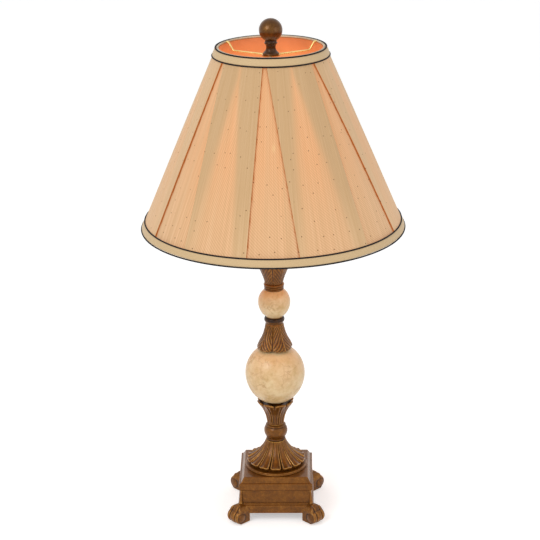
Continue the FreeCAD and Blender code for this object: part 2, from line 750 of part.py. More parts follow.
shaft_hole = side_hole(switch_shaft_radius + running_gap)
shell = tube(socket_shell_radius, socket_shell_radius - socket_shell_wall, shell_z, socket_shell_height)
save("socket_shell", shell.cut(shaft_hole))
liner = tube(liner_radius, liner_radius - socket_liner_wall, shell_z, socket_shell_height - 1.5)
save("socket_insulator", liner.cut(shaft_hole))
socket_core = rod(body_radius, shell_z, socket_body_height)
shaft_pocket = Part.makeCylinder(switch_shaft_radius + running_gap, body_radius,
                                 V(0, switch_shaft_depth - body_radius + running_gap, shaft_z), V(0, -1, 0))
save("socket_body", socket_core.cut(shaft_pocket))
thread_inner = socket_thread_radius - socket_thread_wall
save("socket_screw_shell", turned((socket_contact_radius + 1.2, body_top), (socket_thread_radius, body_top),
                                  (socket_thread_radius, body_top + socket_thread_height),
                                  (thread_inner, body_top + socket_thread_height),
                                  (thread_inner, body_top + socket_thread_wall),
                                  (socket_contact_radius + 1.2, body_top + socket_thread_wall)))
save("socket_contact", rod(socket_contact_radius, body_top, socket_contact_height))

shaft_start_y = switch_shaft_depth - body_radius
shaft_length = shaft_start_y + socket_shell_radius + switch_shaft_reach
shaft = Part.makeCylinder(switch_shaft_radius, shaft_length, V(0, shaft_start_y, shaft_z), V(0, -1, 0))
save("switch_shaft", shaft)
knob_start_y = -socket_shell_radius - switch_shaft_reach + switch_knob_length * 0.55
knob_body = turned((0, 0), (switch_knob_radius - switch_knob_waist, 0), (switch_knob_radius, 2.5),
                   (switch_knob_radius, switch_knob_length - 1.5),
                   (switch_knob_radius - 1.2, switch_knob_length), (0, switch_knob_length))
rib_gap = Part.makeCylinder(0.7, switch_knob_length + 2, V(switch_knob_radius + 0.2, 0, -1))
knob_body = knob_body.cut(Part.makeCompound(around(rib_gap, switch_knob_ribs)))
knob_body.rotate(V(0, 0, 0), V(1, 0, 0), 90)
knob_body.translate(V(0, knob_start_y, shaft_z))
save("switch_knob", knob_body.cut(shaft))

# ================================================================ bulb
bulb_z = body_top + socket_contact_height + running_gap
base_low = bulb_z + bulb_tip_height + 2.0
base_top = base_low + bulb_base_height
base_inner = bulb_base_radius - bulb_base_wall
bulb_top = bulb_z + bulb_length
bulb_centre = bulb_top - bulb_radius
save("bulb_contact", rod(bulb_tip_radius, bulb_z, bulb_tip_height))
save("bulb_insulator", turned((0, bulb_z + bulb_tip_height), (bulb_tip_radius, bulb_z + bulb_tip_height),
                              (bulb_base_radius - 1.5, base_low), (0, base_low)))
save("bulb_screw_base", tube(bulb_base_radius, base_inner, base_low, bulb_base_height))


def bulb_glass():
    """Pear-shaped glass: a round head, a tapering shoulder, and a neck in the screw base."""
    neck_low = base_top - 6.0
    wall = bulb_glass_wall

    def on_head(radius, degrees):
        angle = math.radians(degrees)
        return (radius * math.cos(angle), bulb_centre + radius * math.sin(angle))

    edge = on_head(bulb_radius, -28)
    inner_edge = (edge[0] - wall, edge[1] + 0.2)
    waist = (bulb_neck_radius + 5.5, base_top + 12.5)
    return turned((bulb_neck_radius - wall, neck_low), (bulb_neck_radius, neck_low),
                  (bulb_neck_radius, base_top + 1.0), waist + edge,
                  on_head(bulb_radius, 35) + (0, bulb_top), (0, bulb_top - wall),
                  on_head(bulb_radius - wall, 35) + inner_edge,
                  (waist[0] - wall, waist[1] + 0.2, bulb_neck_radius - wall, base_top + 1.2))


save("bulb_glass", bulb_glass())
stem_low = base_top - 5.0
stem_top = stem_low + bulb_stem_height
save("bulb_stem", turned((0, stem_low), (bulb_neck_radius - bulb_glass_wall - touch_gap, stem_low),
                         (bulb_stem_radius + 1.5, stem_low + 2.5, bulb_stem_radius, stem_low + 9.0),
                         (bulb_stem_radius, stem_top), (0, stem_top)))
filament_half = filament_span / 2
lead_x = bulb_stem_radius - filament_radius
filament_low = stem_top + filament_radius
filament_points = [V(-lead_x, 0, filament_low), V(-filament_half, 0, bulb_centre), V(0, 0, bulb_centre + 4.0),
                   V(filament_half, 0, bulb_centre), V(lead_x, 0, filament_low)]
save("bulb_filament", wire_along(filament_points, [1.5, 4.0, 1.5], filament_radius))

# ================================================================ shade
shade_slope = (shade_bottom_radius - shade_top_radius) / shade_height


def cone_radius(z, inset=0.0):
    """Radius of the shade's outline at a height, less an inset."""
    return shade_top_radius + (shade_top_z - z) * shade_slope - inset


def cone_shell(low, high, inset, thickness):
    """A wall that follows the shade's slope between two heights."""
    return turned((cone_radius(low, inset), low), (cone_radius(high, inset), high),
                  (cone_radius(high, inset + thickness), high), (cone_radius(low, inset + thickness), low))


fabric_inset = band_thickness + touch_gap
lining_inset = fabric_inset + fabric_thickness + touch_gap
skin_top = shade_top_z - 2 * ring_wire_radius - touch_gap - 0.3
skin_bottom = shade_bottom_z + 2 * ring_wire_radius + touch_gap + 0.3


def pleat_section(z, width, depth):
    """Outline of one pleat's opening at a height, centred on +X."""
    floor = cone_radius(z, fabric_inset + depth)
    outer = cone_radius(z, -fabric_thickness)
    half = width / 2 / cone_radius(z, fabric_inset)

    def at(radius, angle):
        return V(radius * math.cos(angle), radius * math.sin(angle), z)

    floor_arc = Part.Arc(at(floor, -half), at(floor, 0), at(floor, half)).toShape()
    outer_arc = Part.Arc(at(outer, half), at(outer, 0), at(outer, -half)).toShape()
    side_out = Part.LineSegment(at(floor, half), at(outer, half)).toShape()
    side_in = Part.LineSegment(at(outer, -half), at(floor, -half)).toShape()
    return Part.Wire([floor_arc, side_out, outer_arc, side_in])


fabric = cone_shell(skin_bottom, skin_top, fabric_inset, fabric_thickness)
pleat = Part.makeLoft([pleat_section(skin_top + 1, pleat_top_width, pleat_depth),
                       pleat_section(skin_bottom - 1, pleat_bottom_width, pleat_depth)], True, True)
fabric = fabric.cut(Part.makeCompound(around(pleat, pleat_count, -90)))
save("shade_fabric", fabric)
save("shade_lining", cone_shell(skin_bottom, skin_top, lining_inset, lining_thickness))


def trim(name, low):
    """A flat trim band between two round pipings; low is the lower piping's underside."""
    band_low = low + 2 * piping_radius + touch_gap / 2
    high = band_low + band_height
    save(name + "_band", cone_shell(band_low, high, 0.0, band_thickness))
    pipings = []
    for z in (low + piping_radius, high + touch_gap / 2 + piping_radius):
        pipings.append(ring_wire(cone_radius(z, piping_radius - piping_proud), piping_radius, z))
    save(name + "_pipings", pipings)


trim_height = band_height + 4 * piping_radius + touch_gap
trim("top", shade_top_z - trim_height)
trim("bottom", shade_bottom_z)

ring_gap = band_thickness + touch_gap + ring_wire_radius
top_ring_z = shade_top_z - ring_wire_radius - 0.3
bottom_ring_z = shade_bottom_z + ring_wire_radius + 0.3
top_ring_radius = cone_radius(top_ring_z, ring_gap)
top_ring = ring_wire(top_ring_radius, ring_wire_radius, top_ring_z)
save("shade_top_ring", top_ring)
bottom_ring_radius = cone_radius(bottom_ring_z, ring_gap + ring_set_in)
save("shade_bottom_ring", ring_wire(bottom_ring_radius, ring_wire_radius, bottom_ring_z))

spider_z = washer_z + spider_washer_thickness / 2
spider_washer = tube(spider_washer_radius, stud_radius + running_gap, washer_z, spider_washer_thickness)
save("spider_washer", spider_washer)
level_end = top_ring_radius - spider_end_run
arm_points = [V(finial_base_radius + running_gap, 0, spider_z), V(level_end - spider_rise_run, 0, spider_z),
              V(level_end, 0, top_ring_z), V(top_ring_radius, 0, top_ring_z)]
arm = wire_along(arm_points, [spider_bend_radius, 2.0], spider_wire_radius)
arm = arm.cut(top_ring).cut(rod(spider_washer_radius, washer_z, spider_washer_thickness))
arm = max(arm.Solids, key=lambda solid: solid.Volume)
save("spider_arms", around(arm, spider_arm_count, -90))

# ================================================================ finial
ball_centre = finial_z + finial_height - finial_ball_radius
insert_radius = stud_radius + thread_gap
base_top_z = finial_z + finial_base_height
collar_top_z = ball_centre - math.sqrt(finial_ball_radius ** 2 - finial_neck_radius ** 2)
collar_low_z = collar_top_z - finial_collar_height
neck_low_z = base_top_z + 3.0
finial_body = turned((finial_insert_radius + touch_gap, finial_z), (finial_base_radius, finial_z),
                     (finial_base_radius, base_top_z - 1.2),
                     (finial_neck_radius + 1.2, base_top_z + 0.8, finial_neck_radius, neck_low_z + 2.0),
                     (finial_neck_radius, collar_low_z),
                     (finial_collar_radius, (collar_low_z + collar_top_z) / 2,
                      finial_neck_radius, collar_top_z),
                     (finial_ball_radius, ball_centre, 0, ball_centre + finial_ball_radius),
                     (0, finial_z + finial_insert_height + touch_gap),
                     (finial_insert_radius + touch_gap, finial_z + finial_insert_height + touch_gap))
save("finial", finial_body)
save("finial_insert", turned((insert_radius, finial_z), (finial_insert_radius, finial_z),
                             (finial_insert_radius, finial_z + finial_insert_height),
                             (0, finial_z + finial_insert_height), (0, finial_z + stud_length),
                             (insert_radius, finial_z + stud_length)))
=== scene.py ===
# Column table lamp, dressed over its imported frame. Metres, +Z up, the front faces -Y.
import bmesh
import bpy
import math
import numpy as np
from mathutils import Euler, Matrix, Vector


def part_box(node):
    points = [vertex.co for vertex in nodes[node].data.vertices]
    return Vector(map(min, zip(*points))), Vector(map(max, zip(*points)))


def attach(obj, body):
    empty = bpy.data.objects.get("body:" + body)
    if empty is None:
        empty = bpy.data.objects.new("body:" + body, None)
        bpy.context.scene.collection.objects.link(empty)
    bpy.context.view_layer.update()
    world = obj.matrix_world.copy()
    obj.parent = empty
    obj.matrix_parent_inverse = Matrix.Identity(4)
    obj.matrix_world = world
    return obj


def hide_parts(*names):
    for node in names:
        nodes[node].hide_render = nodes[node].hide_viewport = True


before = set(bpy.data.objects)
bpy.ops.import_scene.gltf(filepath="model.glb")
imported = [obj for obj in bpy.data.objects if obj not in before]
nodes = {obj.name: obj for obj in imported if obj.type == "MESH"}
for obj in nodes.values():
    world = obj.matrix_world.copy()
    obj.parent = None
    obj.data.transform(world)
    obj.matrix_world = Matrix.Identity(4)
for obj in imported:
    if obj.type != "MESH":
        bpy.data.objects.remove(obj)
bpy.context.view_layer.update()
mm = 0.001


# -------------------- felt pads
# A cut piece of black felt is glued under each foot, so that the resin can't scratch the
# table. The pads are the only things that touch the floor.
def new_material(name):
    """A material with one Principled shader; gives its node tree and that shader."""
    made = bpy.data.materials.new(name)
    made.use_nodes = True
    tree = made.node_tree
    return made, tree, tree.nodes["Principled BSDF"]


def object_place(tree, scale=(1, 1, 1)):
    """The piece's own coordinates, stretched."""
    fit = tree.nodes.new("ShaderNodeMapping")
    fit.inputs["Scale"].default_value = scale
    tree.links.new(tree.nodes.new("ShaderNodeTexCoord").outputs["Object"], fit.inputs["Vector"])
    return fit.outputs["Vector"]


def noise(tree, scale, detail=4.0, roughness=0.6, vector=None):
    """Soft random pattern; scale is in waves per metre of the vector."""
    node = tree.nodes.new("ShaderNodeTexNoise")
    node.inputs["Scale"].default_value = scale
    node.inputs["Detail"].default_value = detail
    node.inputs["Roughness"].default_value = roughness
    tree.links.new(vector or object_place(tree), node.inputs["Vector"])
    return node.outputs["Fac"]


def ramp(tree, value, *stops):
    """A colour ramp over a value; each stop is (position, colour or grey)."""
    node = tree.nodes.new("ShaderNodeValToRGB")
    row = node.color_ramp.elements
    while len(row) < len(stops):
        row.new(0.5)
    for element, (position, colour) in zip(row, stops):
        element.position = position
        element.color = (colour if isinstance(colour, tuple) else (colour,) * 3) + (1.0,)
    tree.links.new(value, node.inputs["Fac"])
    return node.outputs["Color"]


def math_node(tree, operation, a, b=None, clamp=False):
    """One arithmetic step; each input is a socket or a number."""
    node = tree.nodes.new("ShaderNodeMath")
    node.operation = operation
    node.use_clamp = clamp
    for socket, value in zip(node.inputs, (a, b)):
        if isinstance(value, (int, float)):
            socket.default_value = value
        elif value is not None:
            tree.links.new(value, socket)
    return node.outputs["Value"]


def times(tree, a, b):
    return math_node(tree, "MULTIPLY", a, b)


def bump(tree, shader, height, strength, depth):
    """Relief too fine to model; depth is in metres."""
    node = tree.nodes.new("ShaderNodeBump")
    node.inputs["Strength"].default_value = strength
    node.inputs["Distance"].default_value = depth
    tree.links.new(height, node.inputs["Height"])
    tree.links.new(node.outputs["Normal"], shader.inputs["Normal"])


def set_shader(tree, shader, sockets):
    """Sets sockets by name, each to a number, a tuple or another node's output."""
    for name, value in sockets.items():
        if isinstance(value, (int, float, tuple)):
            shader.inputs[name].default_value = value
        else:
            tree.links.new(value, shader.inputs[name])


def plain_finish(name, dark, light, roughness, metal, grain, relief, extra=()):
    """A finish of two near tones in a fine grain, with roughness that varies with them."""
    made, tree, shader = new_material(name)
    grain_value = noise(tree, grain, 5.0, 0.65)
    tone = times(tree, grain_value, noise(tree, grain / 14.0, 3.0, 0.5))
    set_shader(tree, shader, {
        "Base Color": ramp(tree, tone, (0.12, dark), (0.42, light)),
        "Roughness": ramp(tree, grain_value, (0.3, min(roughness * 1.25, 1.0)), (0.7, roughness * 0.85)),
        "Metallic": metal, **dict(extra)})
    bump(tree, shader, grain_value, 0.35, relief)
    return made


def dress_nodes(finish, *names):
    """Gives CAD nodes that stay in view their finish."""
    for name in names:
        mesh = nodes[name].data
        mesh.materials.clear()
        mesh.materials.append(finish)


felt = plain_finish("black felt", (0.006, 0.006, 0.006), (0.035, 0.033, 0.032), 0.95, 0.0, 2600.0, 0.0004,
                    [("Sheen Weight", 0.4)])
dress_nodes(felt, "felt_pads")


# -------------------- scroll feet
# Four cast resin brackets carry the plinth's corners. Each is a scroll with three ribs on its
# outer face and a volute on both sides, and is screwed up into the molding from below.
golden = (0.44, 0.22, 0.048)
bronze_mid = (0.190, 0.066, 0.005)
bronze_dark = (0.018, 0.0065, 0.002)


def between(first, second, share):
    """The colour at a share of the way from one colour to another."""
    return tuple(a + (b - a) * share for a, b in zip(first, second))


def attribute(tree, name):
    """A number stored on the mesh's points."""
    node = tree.nodes.new("ShaderNodeAttribute")
    node.attribute_name = name
    return node.outputs["Fac"]


def bronze_finish(name, warmth=1.0, gilding=1.0):
    """Bronzed resin: dark glaze left in the hollows, brown faces, gold rubbed on the ridges."""
    made, tree, shader = new_material(name)
    cloud = noise(tree, 55.0, 5.0, 0.62)
    streak = noise(tree, 240.0, 6.0, 0.7, object_place(tree, (1, 1, 0.6)))
    fleck = noise(tree, 760.0, 4.0, 0.75)
    height = attribute(tree, "relief")
    for pattern, amount in ((streak, 0.45), (cloud, 0.34), (fleck, 0.62)):
        swing = times(tree, math_node(tree, "SUBTRACT", pattern, 0.5), amount)
        height = math_node(tree, "ADD", height, swing)
    mid = tuple(c * warmth for c in bronze_mid)
    gilt = between(mid, golden, gilding)
    set_shader(tree, shader, {
        "Base Color": ramp(tree, height, (0.12, bronze_dark), (0.38, tuple(c * 0.55 for c in mid)), (0.55, mid),
                           (0.74, between(mid, gilt, 0.5)), (0.96, gilt)),
        "Roughness": ramp(tree, height, (0.2, 0.60), (0.6, 0.40), (0.95, 0.32)),
        "Metallic": ramp(tree, height, (0.25, 0.35), (0.5, 0.60), (0.9, 0.85)),
        "Specular IOR Level": 0.2, "Coat Weight": 0.6, "Coat IOR": 1.3, "Coat Roughness": 0.15})
    bump(tree, shader, math_node(tree, "ADD", streak, fleck), 0.45, 0.0003)
    return made


bronze = bronze_finish("bronzed resin")


def grid_piece(name, grid, closed_rows=False, closed_columns=False):
    """A surface over a grid of points, rows by columns; a closed way joins its last line to its first."""
    rows, columns = grid.shape[:2]
    i, j = np.meshgrid(np.arange(rows if closed_rows else rows - 1),
                       np.arange(columns if closed_columns else columns - 1), indexing="ij")
    after_i, after_j = (i + 1) % rows, (j + 1) % columns
    faces = np.stack([i * columns + j, i * columns + after_j, after_i * columns + after_j,
                      after_i * columns + j], axis=-1).reshape(-1, 4)
    mesh = bpy.data.meshes.new(name)
    mesh.from_pydata(grid.reshape(-1, 3).tolist(), [], faces.tolist())
    piece = bpy.data.objects.new(name, mesh)
    bpy.context.scene.collection.objects.link(piece)
    return piece


def smooth_faces(piece):
    """Shades a piece smooth but for its sharp edges."""
    piece.data.polygons.foreach_set("use_smooth", [True] * len(piece.data.polygons))
    piece.data.set_sharp_from_angle(angle=math.radians(50))


def clean(piece, merge=0.000004):
    """Merges doubled points, drops flat slivers and turns every face outwards."""
    work = bmesh.new()
    work.from_mesh(piece.data)
    bmesh.ops.remove_doubles(work, verts=work.verts, dist=merge)
    bmesh.ops.dissolve_degenerate(work, edges=work.edges, dist=merge / 4)
    bmesh.ops.recalc_face_normals(work, faces=work.faces)
    work.to_mesh(piece.data)
    work.free()
    smooth_faces(piece)
    piece.data.update()
    return piece


def store(piece, name, values):
    """Keeps one number for each point, which the material reads."""
    piece.data.attributes.new(name, "FLOAT", "POINT").data.foreach_set("value", values)


def mark_relief(piece, low=0.0, high=1.0):
    """Stores how far each point stands out of (1) or lies in (0) its surroundings; 0.5 is flat."""
    reach, full_stand, rounds = 2.2 * mm, 0.44 * mm, 2
    mesh = piece.data
    count = len(mesh.vertices)

    def of_points(key):
        values = np.zeros(count * 3)
        mesh.vertices.foreach_get(key, values)
        return values.reshape(-1, 3)

    spots, normals = of_points("co"), of_points("normal")
    pairs = np.zeros(len(mesh.edges) * 2, dtype=np.int64)
    mesh.edges.foreach_get("vertices", pairs)
    pairs = pairs.reshape(-1, 2)
    here, there = np.concatenate([pairs, pairs[:, ::-1]]).T
    degree = np.maximum(np.bincount(here, minlength=count), 1)

    def around_mean(values):
        total = [np.bincount(here, weights=column, minlength=count) for column in values[there].T]
        return np.stack(total, axis=-1) / degree[:, None]

    gaps = np.linalg.norm(spots[here] - spots[there], axis=1)
    usual_gap = float(np.median(np.bincount(here, weights=gaps, minlength=count) / degree))
    smooth_spots = spots.copy()
    for _ in range(max(2, min(14, int(round((reach / max(usual_gap, 1e-5)) ** 2))))):
        smooth_spots = 0.5 * smooth_spots + 0.5 * around_mean(smooth_spots)
    stand = ((spots - smooth_spots) * normals).sum(axis=1)
    relief = (0.5 + 0.5 * np.tanh((stand - np.median(stand)) / full_stand))[:, None]
    for _ in range(rounds):
        relief = 0.5 * relief + 0.5 * around_mean(relief)
    store(piece, "relief", np.clip(relief[:, 0], low, high))


def place_piece(piece, finish, slot, body, *stands_for):
    """Gives a finished piece its material and body, and hides the CAD nodes it stands for; slot is not used."""
    piece.data.materials.clear()
    piece.data.materials.append(finish)
    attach(piece, body)
    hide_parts(*stands_for)


def place_casting(piece, node):
    """A bronzed casting of the lamp's column or plinth."""
    place_piece(piece, bronze, "bronze_resin", "lamp_body", node)


def steps_from(across, level, *points):
    """Outline points given as millimetres out and up from a corner."""
    return [(across + out * mm, level + up * mm) for out, up in points]


def rounded(points, radius, step):
    """An open outline with its inner corners eased by a radius, cut into steps."""
    points = [np.array(p, dtype=float) for p in points]
    line = [points[0]]
    for before, corner, after in zip(points, points[1:], points[2:]):
        cut = min(radius, 0.45 * np.linalg.norm(corner - before), 0.45 * np.linalg.norm(after - corner))
        start = corner + (before - corner) / np.linalg.norm(before - corner) * cut
        end = corner + (after - corner) / np.linalg.norm(after - corner) * cut
        for t in (0.0, 0.33, 0.67, 1.0):
            line.append((1 - t) ** 2 * start + 2 * t * (1 - t) * corner + t ** 2 * end)
    line.append(points[-1])
    dense = [line[0]]
    for start, end in zip(line, line[1:]):
        cuts = max(1, int(math.ceil(np.linalg.norm(end - start) / step)))
        for k in range(1, cuts + 1):
            dense.append(start + (end - start) * k / cuts)
    return np.array(dense)


def curve_through(points, cuts=6):
    """A smooth line through points (Catmull-Rom)."""
    points = [np.array(p, dtype=float) for p in points]
    padded = [2 * points[0] - points[1]] + points + [2 * points[-1] - points[-2]]
    line = [points[0]]
    for p0, p1, p2, p3 in zip(padded, padded[1:], padded[2:], padded[3:]):
        for k in range(1, cuts + 1):
            t = k / cuts
            line.append(0.5 * (2 * p1 + (p2 - p0) * t + (2 * p0 - 5 * p1 + 4 * p2 - p3) * t * t
                               + (3 * p1 - p0 - 3 * p2 + p3) * t ** 3))
    return np.array(line)


def bell(x, width):
    return np.exp(-(x / width) ** 2)


foot_names = ("foot_rear_right", "foot_rear_left", "foot_front_left", "foot_front_right")
foot_reach = 99.0 * mm
foot_half_width = 12.0 * mm
foot_edge = 2.2 * mm
foot_flat_half = 9.8 * mm
scroll_radius = 11.0 * mm
sole_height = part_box("felt_pads")[1][2]
foot_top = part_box("base_molding")[1][2]
molding_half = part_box("base_molding")[1][0]
foot_inner = molding_half * math.sqrt(2) - 13.85 * mm
scroll_u = foot_reach - scroll_radius
scroll_z = sole_height + scroll_radius
scroll_eye = np.array([scroll_u + 0.5 * mm, scroll_z - 1.0 * mm])


def foot_outline():
    """The bracket's side view as (u, z) points, from the sole round the scroll to the top."""
    turn = np.radians(np.linspace(-90, 62, 34))
    scroll = np.stack([scroll_u + scroll_radius * np.cos(turn),
                       scroll_z + scroll_radius * np.sin(turn)], axis=-1)
    knee = np.array([foot_reach - 14.5 * mm, foot_top])
    neck = curve_through([scroll[-1], (scroll[-1] + knee) / 2 + (0.8 * mm, 0.8 * mm), knee], 12)[1:]
    top = rounded([knee, (foot_inner, foot_top)], 1 * mm, 1.2 * mm)[1:]
    back = rounded([(foot_inner, foot_top), (foot_inner, sole_height)], 1 * mm, 1.5 * mm)[1:]
    sole = rounded([(foot_inner, sole_height), (scroll_u, sole_height)], 1 * mm, 1.2 * mm)[1:-1]
    return np.concatenate([scroll, neck, top, back, sole])


outline = foot_outline()
ahead = np.roll(outline, -1, axis=0) - np.roll(outline, 1, axis=0)
outward = np.stack([ahead[:, 1], -ahead[:, 0]], axis=-1)
outward /= np.maximum(np.linalg.norm(outward, axis=1), 1e-9)[:, None]
on_face = np.clip((outline[:, 0] - 80 * mm) / (4 * mm), 0, 1)
on_face *= np.clip((outline[:, 1] - sole_height - 0.2 * mm) / (1.5 * mm), 0, 1)
ease = foot_edge * (1 - np.cos(np.radians(np.linspace(0, 90, 8))))
across = np.concatenate([-foot_half_width + ease, np.linspace(-foot_flat_half, foot_flat_half, 53)[1:-1],
                         foot_half_width - ease[::-1]])
rows = []
for v in across:
    edge = max(0.0, abs(v) - foot_flat_half) / foot_edge
    tuck = 1.6 * mm * (1 - math.sqrt(max(0.0, 1 - edge ** 2)))
    side = abs(v) / mm
    ribs = max(0.0, 1 - (side / 4.7) ** 4) - 1.3 * bell(side - 5.6, 0.75) + 0.6 * bell(side - 8.4, 1.5)
    spots = outline + outward * ((ribs * mm - 0.4 * mm - tuck) * on_face)[:, None]
    dome = foot_top - foot_half_width + math.sqrt(max(0.0, foot_half_width ** 2 - v ** 2)) + ribs * 0.3 * mm
    spots[:, 1] = np.clip(spots[:, 1], sole_height, max(dome, scroll_z + 4 * mm))
    rows.append(np.stack([spots[:, 0], np.full(len(spots), v), spots[:, 1]], axis=-1))


def side_cap(row, v):
    """Rings that close a foot's side: a low round boss in the scroll, with a groove about it."""
    rings = []
    for share in np.linspace(0.06, 1.0, 16):
        flat = row[:, [0, 2]] * (1 - share) + scroll_eye * share
        gap = np.linalg.norm(flat - scroll_eye, axis=1) / mm
        boss = 1.3 * np.clip(1 - (gap / 7.6) ** 2, 0, 1) - 0.4 * bell(gap - 8.2, 1.0)
        out = v + math.copysign(1.0, v) * boss * mm * min(1.0, share * 6)
        rings.append(np.stack([flat[:, 0], out, flat[:, 1]], axis=-1))
    return rings


foot_grid = np.array(side_cap(rows[0], across[0])[::-1] + rows + side_cap(rows[-1], across[-1]))
for quarter, name in enumerate(foot_names):
    foot = clean(grid_piece(name + "_cast", foot_grid, False, True))
    foot.data.transform(Matrix.Rotation(math.radians(45 + 90 * quarter), 4, "Z"))
    mark_relief(foot)
    place_casting(foot, name)


# -------------------- plinth
# The square plinth is three resin castings glued together: a molding, a block with a thin
# leaning post on each corner, and a cap that slopes up to a flat plate. Iron weighs it down.
def square_ring(half, corner):
    """Points round a centred square of a given half side with eased corners."""
    spots = []
    run = half - corner
    arc = [(run + corner * math.cos(a), run + corner * math.sin(a)) for a in np.linspace(0, math.pi / 2, 7)]
    side = [(half, s) for s in np.linspace(-run, run, 44)[:-1]]
    for quarter in range(4):
        turn = quarter * math.pi / 2
        for x, y in side + arc[:-1]:
            spots.append((x * math.cos(turn) - y * math.sin(turn), x * math.sin(turn) + y * math.cos(turn)))
    return np.array(spots)


def square_casting(name, profile, corner=1.0 * mm):
    """A square casting from an outline of (half side, z) points that closes on itself."""
    grid = []
    for half, z in profile:
        ring = square_ring(half, min(corner, half * 0.3))
        grid.append(np.column_stack([ring, np.full(len(ring), z)]))
    return clean(grid_piece(name, np.array(grid), True, True))


def round_wire(name, path, radius, sides, closed=False):
    """A round wire or bead along a line of points; radius may change along it."""
    path = np.array(path)
    radius = np.broadcast_to(np.array(radius, dtype=float), (len(path),))
    way = np.roll(path, -1, axis=0) - np.roll(path, 1, axis=0) if closed else np.gradient(path, axis=0)
    way /= np.linalg.norm(way, axis=1)[:, None]
    side = np.cross(way[0], (0.0, 0.0, 1.0))
    angles = np.linspace(0, 2 * math.pi, sides, endpoint=False)[:, None]
    rings = []
    for spot, direction, r in zip(path, way, radius):
        side = side - direction * side.dot(direction)
        side /= np.linalg.norm(side)
        other = np.cross(direction, side)
        rings.append(spot + r * (np.cos(angles) * side + np.sin(angles) * other))
    if not closed:
        rings = [np.repeat(path[:1], sides, axis=0)] + rings + [np.repeat(path[-1:], sides, axis=0)]
    return grid_piece(name, np.array(rings), closed, True)


def join(first, *others):
    """Makes several meshes one piece."""
    work = bmesh.new()
    for part in (first,) + others:
        work.from_mesh(part.data)
    work.to_mesh(first.data)
    work.free()
    for part in others:
        bpy.data.objects.remove(part)
    return first


rod_hole = 5.2 * mm
roof = 4 * mm
molding_floor, molding_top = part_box("base_molding")[0][2], foot_top
cavity_half = molding_half - 14 * mm
neck_hole = 22 * mm
molding = square_casting("molding_cast", rounded(
    [(cavity_half, molding_floor), (molding_half, molding_floor)]
    + steps_from(molding_half, molding_top, (0, -3.6), (-0.8, -2.6), (-2.4, -2.0), (-3.2, 0))
    + [(neck_hole, molding_top), (neck_hole, molding_top - roof), (cavity_half, molding_top - roof),
       (cavity_half, molding_floor + 0.5 * mm)], 0.7 * mm, 1.6 * mm))
mark_relief(molding)
place_casting(molding, "base_molding")

block_floor, block_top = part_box("plinth_block")[0][2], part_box("plinth_block")[1][2]
block_half = 54.2 * mm
wall_inner = block_half - 8 * mm
block_outline = rounded(
    [(wall_inner, block_floor)]
    + steps_from(block_half, block_floor, (1.6, 0), (1.6, 0.5), (0.3, 1.8), (0, 3.4))
    + [(block_half, block_top), (rod_hole, block_top), (rod_hole, block_top - roof),
       (wall_inner, block_top - roof), (wall_inner, block_floor + 0.5 * mm)], 0.6 * mm, 1.6 * mm)
post_foot, post_head = (55.95, 31.0), (54.6, 53.0)
posts = []
for x, y in ((1, 1), (-1, 1), (-1, -1), (1, -1)):
    share = np.linspace(0, 1, 14)[:, None]
    low, high = (np.array([x * out, y * out, up]) * mm for out, up in (post_foot, post_head))
    thickness = np.linspace(3.0, 1.6, 14) * mm
    posts.append(clean(round_wire("post", low * (1 - share) + high * share, thickness, 20)))
block = join(square_casting("block_cast", block_outline), *posts)
mark_relief(block)
place_casting(block, "plinth_block")

cap_low, cap_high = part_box("plinth_cap")
cap_half, cap_floor, cap_top = cap_high[0], cap_low[2], cap_high[2]
cap_band_top = cap_floor + 12.5 * mm
plate_half = 50.2 * mm
cap = square_casting("cap_cast", rounded(
    [(rod_hole, cap_floor)] + steps_from(cap_half, cap_floor, (-1.5, 0), (0, 2.0))
    + steps_from(cap_half, cap_band_top, (0, -1.0), (-1.2, 0), (-2.6, 0.2), (-3.6, 1.6))
    + steps_from(plate_half, cap_top, (0.5, -0.4), (-0.6, 0)) + [(rod_hole, cap_top)],
    0.6 * mm, 1.5 * mm), 0.8 * mm)
mark_relief(cap)
place_casting(cap, "plinth_cap")

iron = plain_finish("cast iron", (0.02, 0.02, 0.022), (0.09, 0.088, 0.085), 0.72, 0.7, 700.0, 0.0005)
board = plain_finish("brown fibreboard", (0.10, 0.055, 0.028), (0.26, 0.16, 0.085), 0.9, 0.0, 1200.0, 0.0003)
black_plastic = plain_finish("black plastic", (0.008, 0.008, 0.009), (0.03, 0.03, 0.032), 0.42, 0.0, 1800.0,
                             0.0001)
steel = plain_finish("zinc plated steel", (0.30, 0.30, 0.29), (0.62, 0.61, 0.58), 0.36, 1.0, 1500.0, 0.00008)
dress_nodes(iron, "base_weight")
dress_nodes(board, "bottom_cover")
dress_nodes(black_plastic, "cord_bushing")
dress_nodes(steel, "foot_screws", "rod_nut", "rod_washer", "threaded_rod")


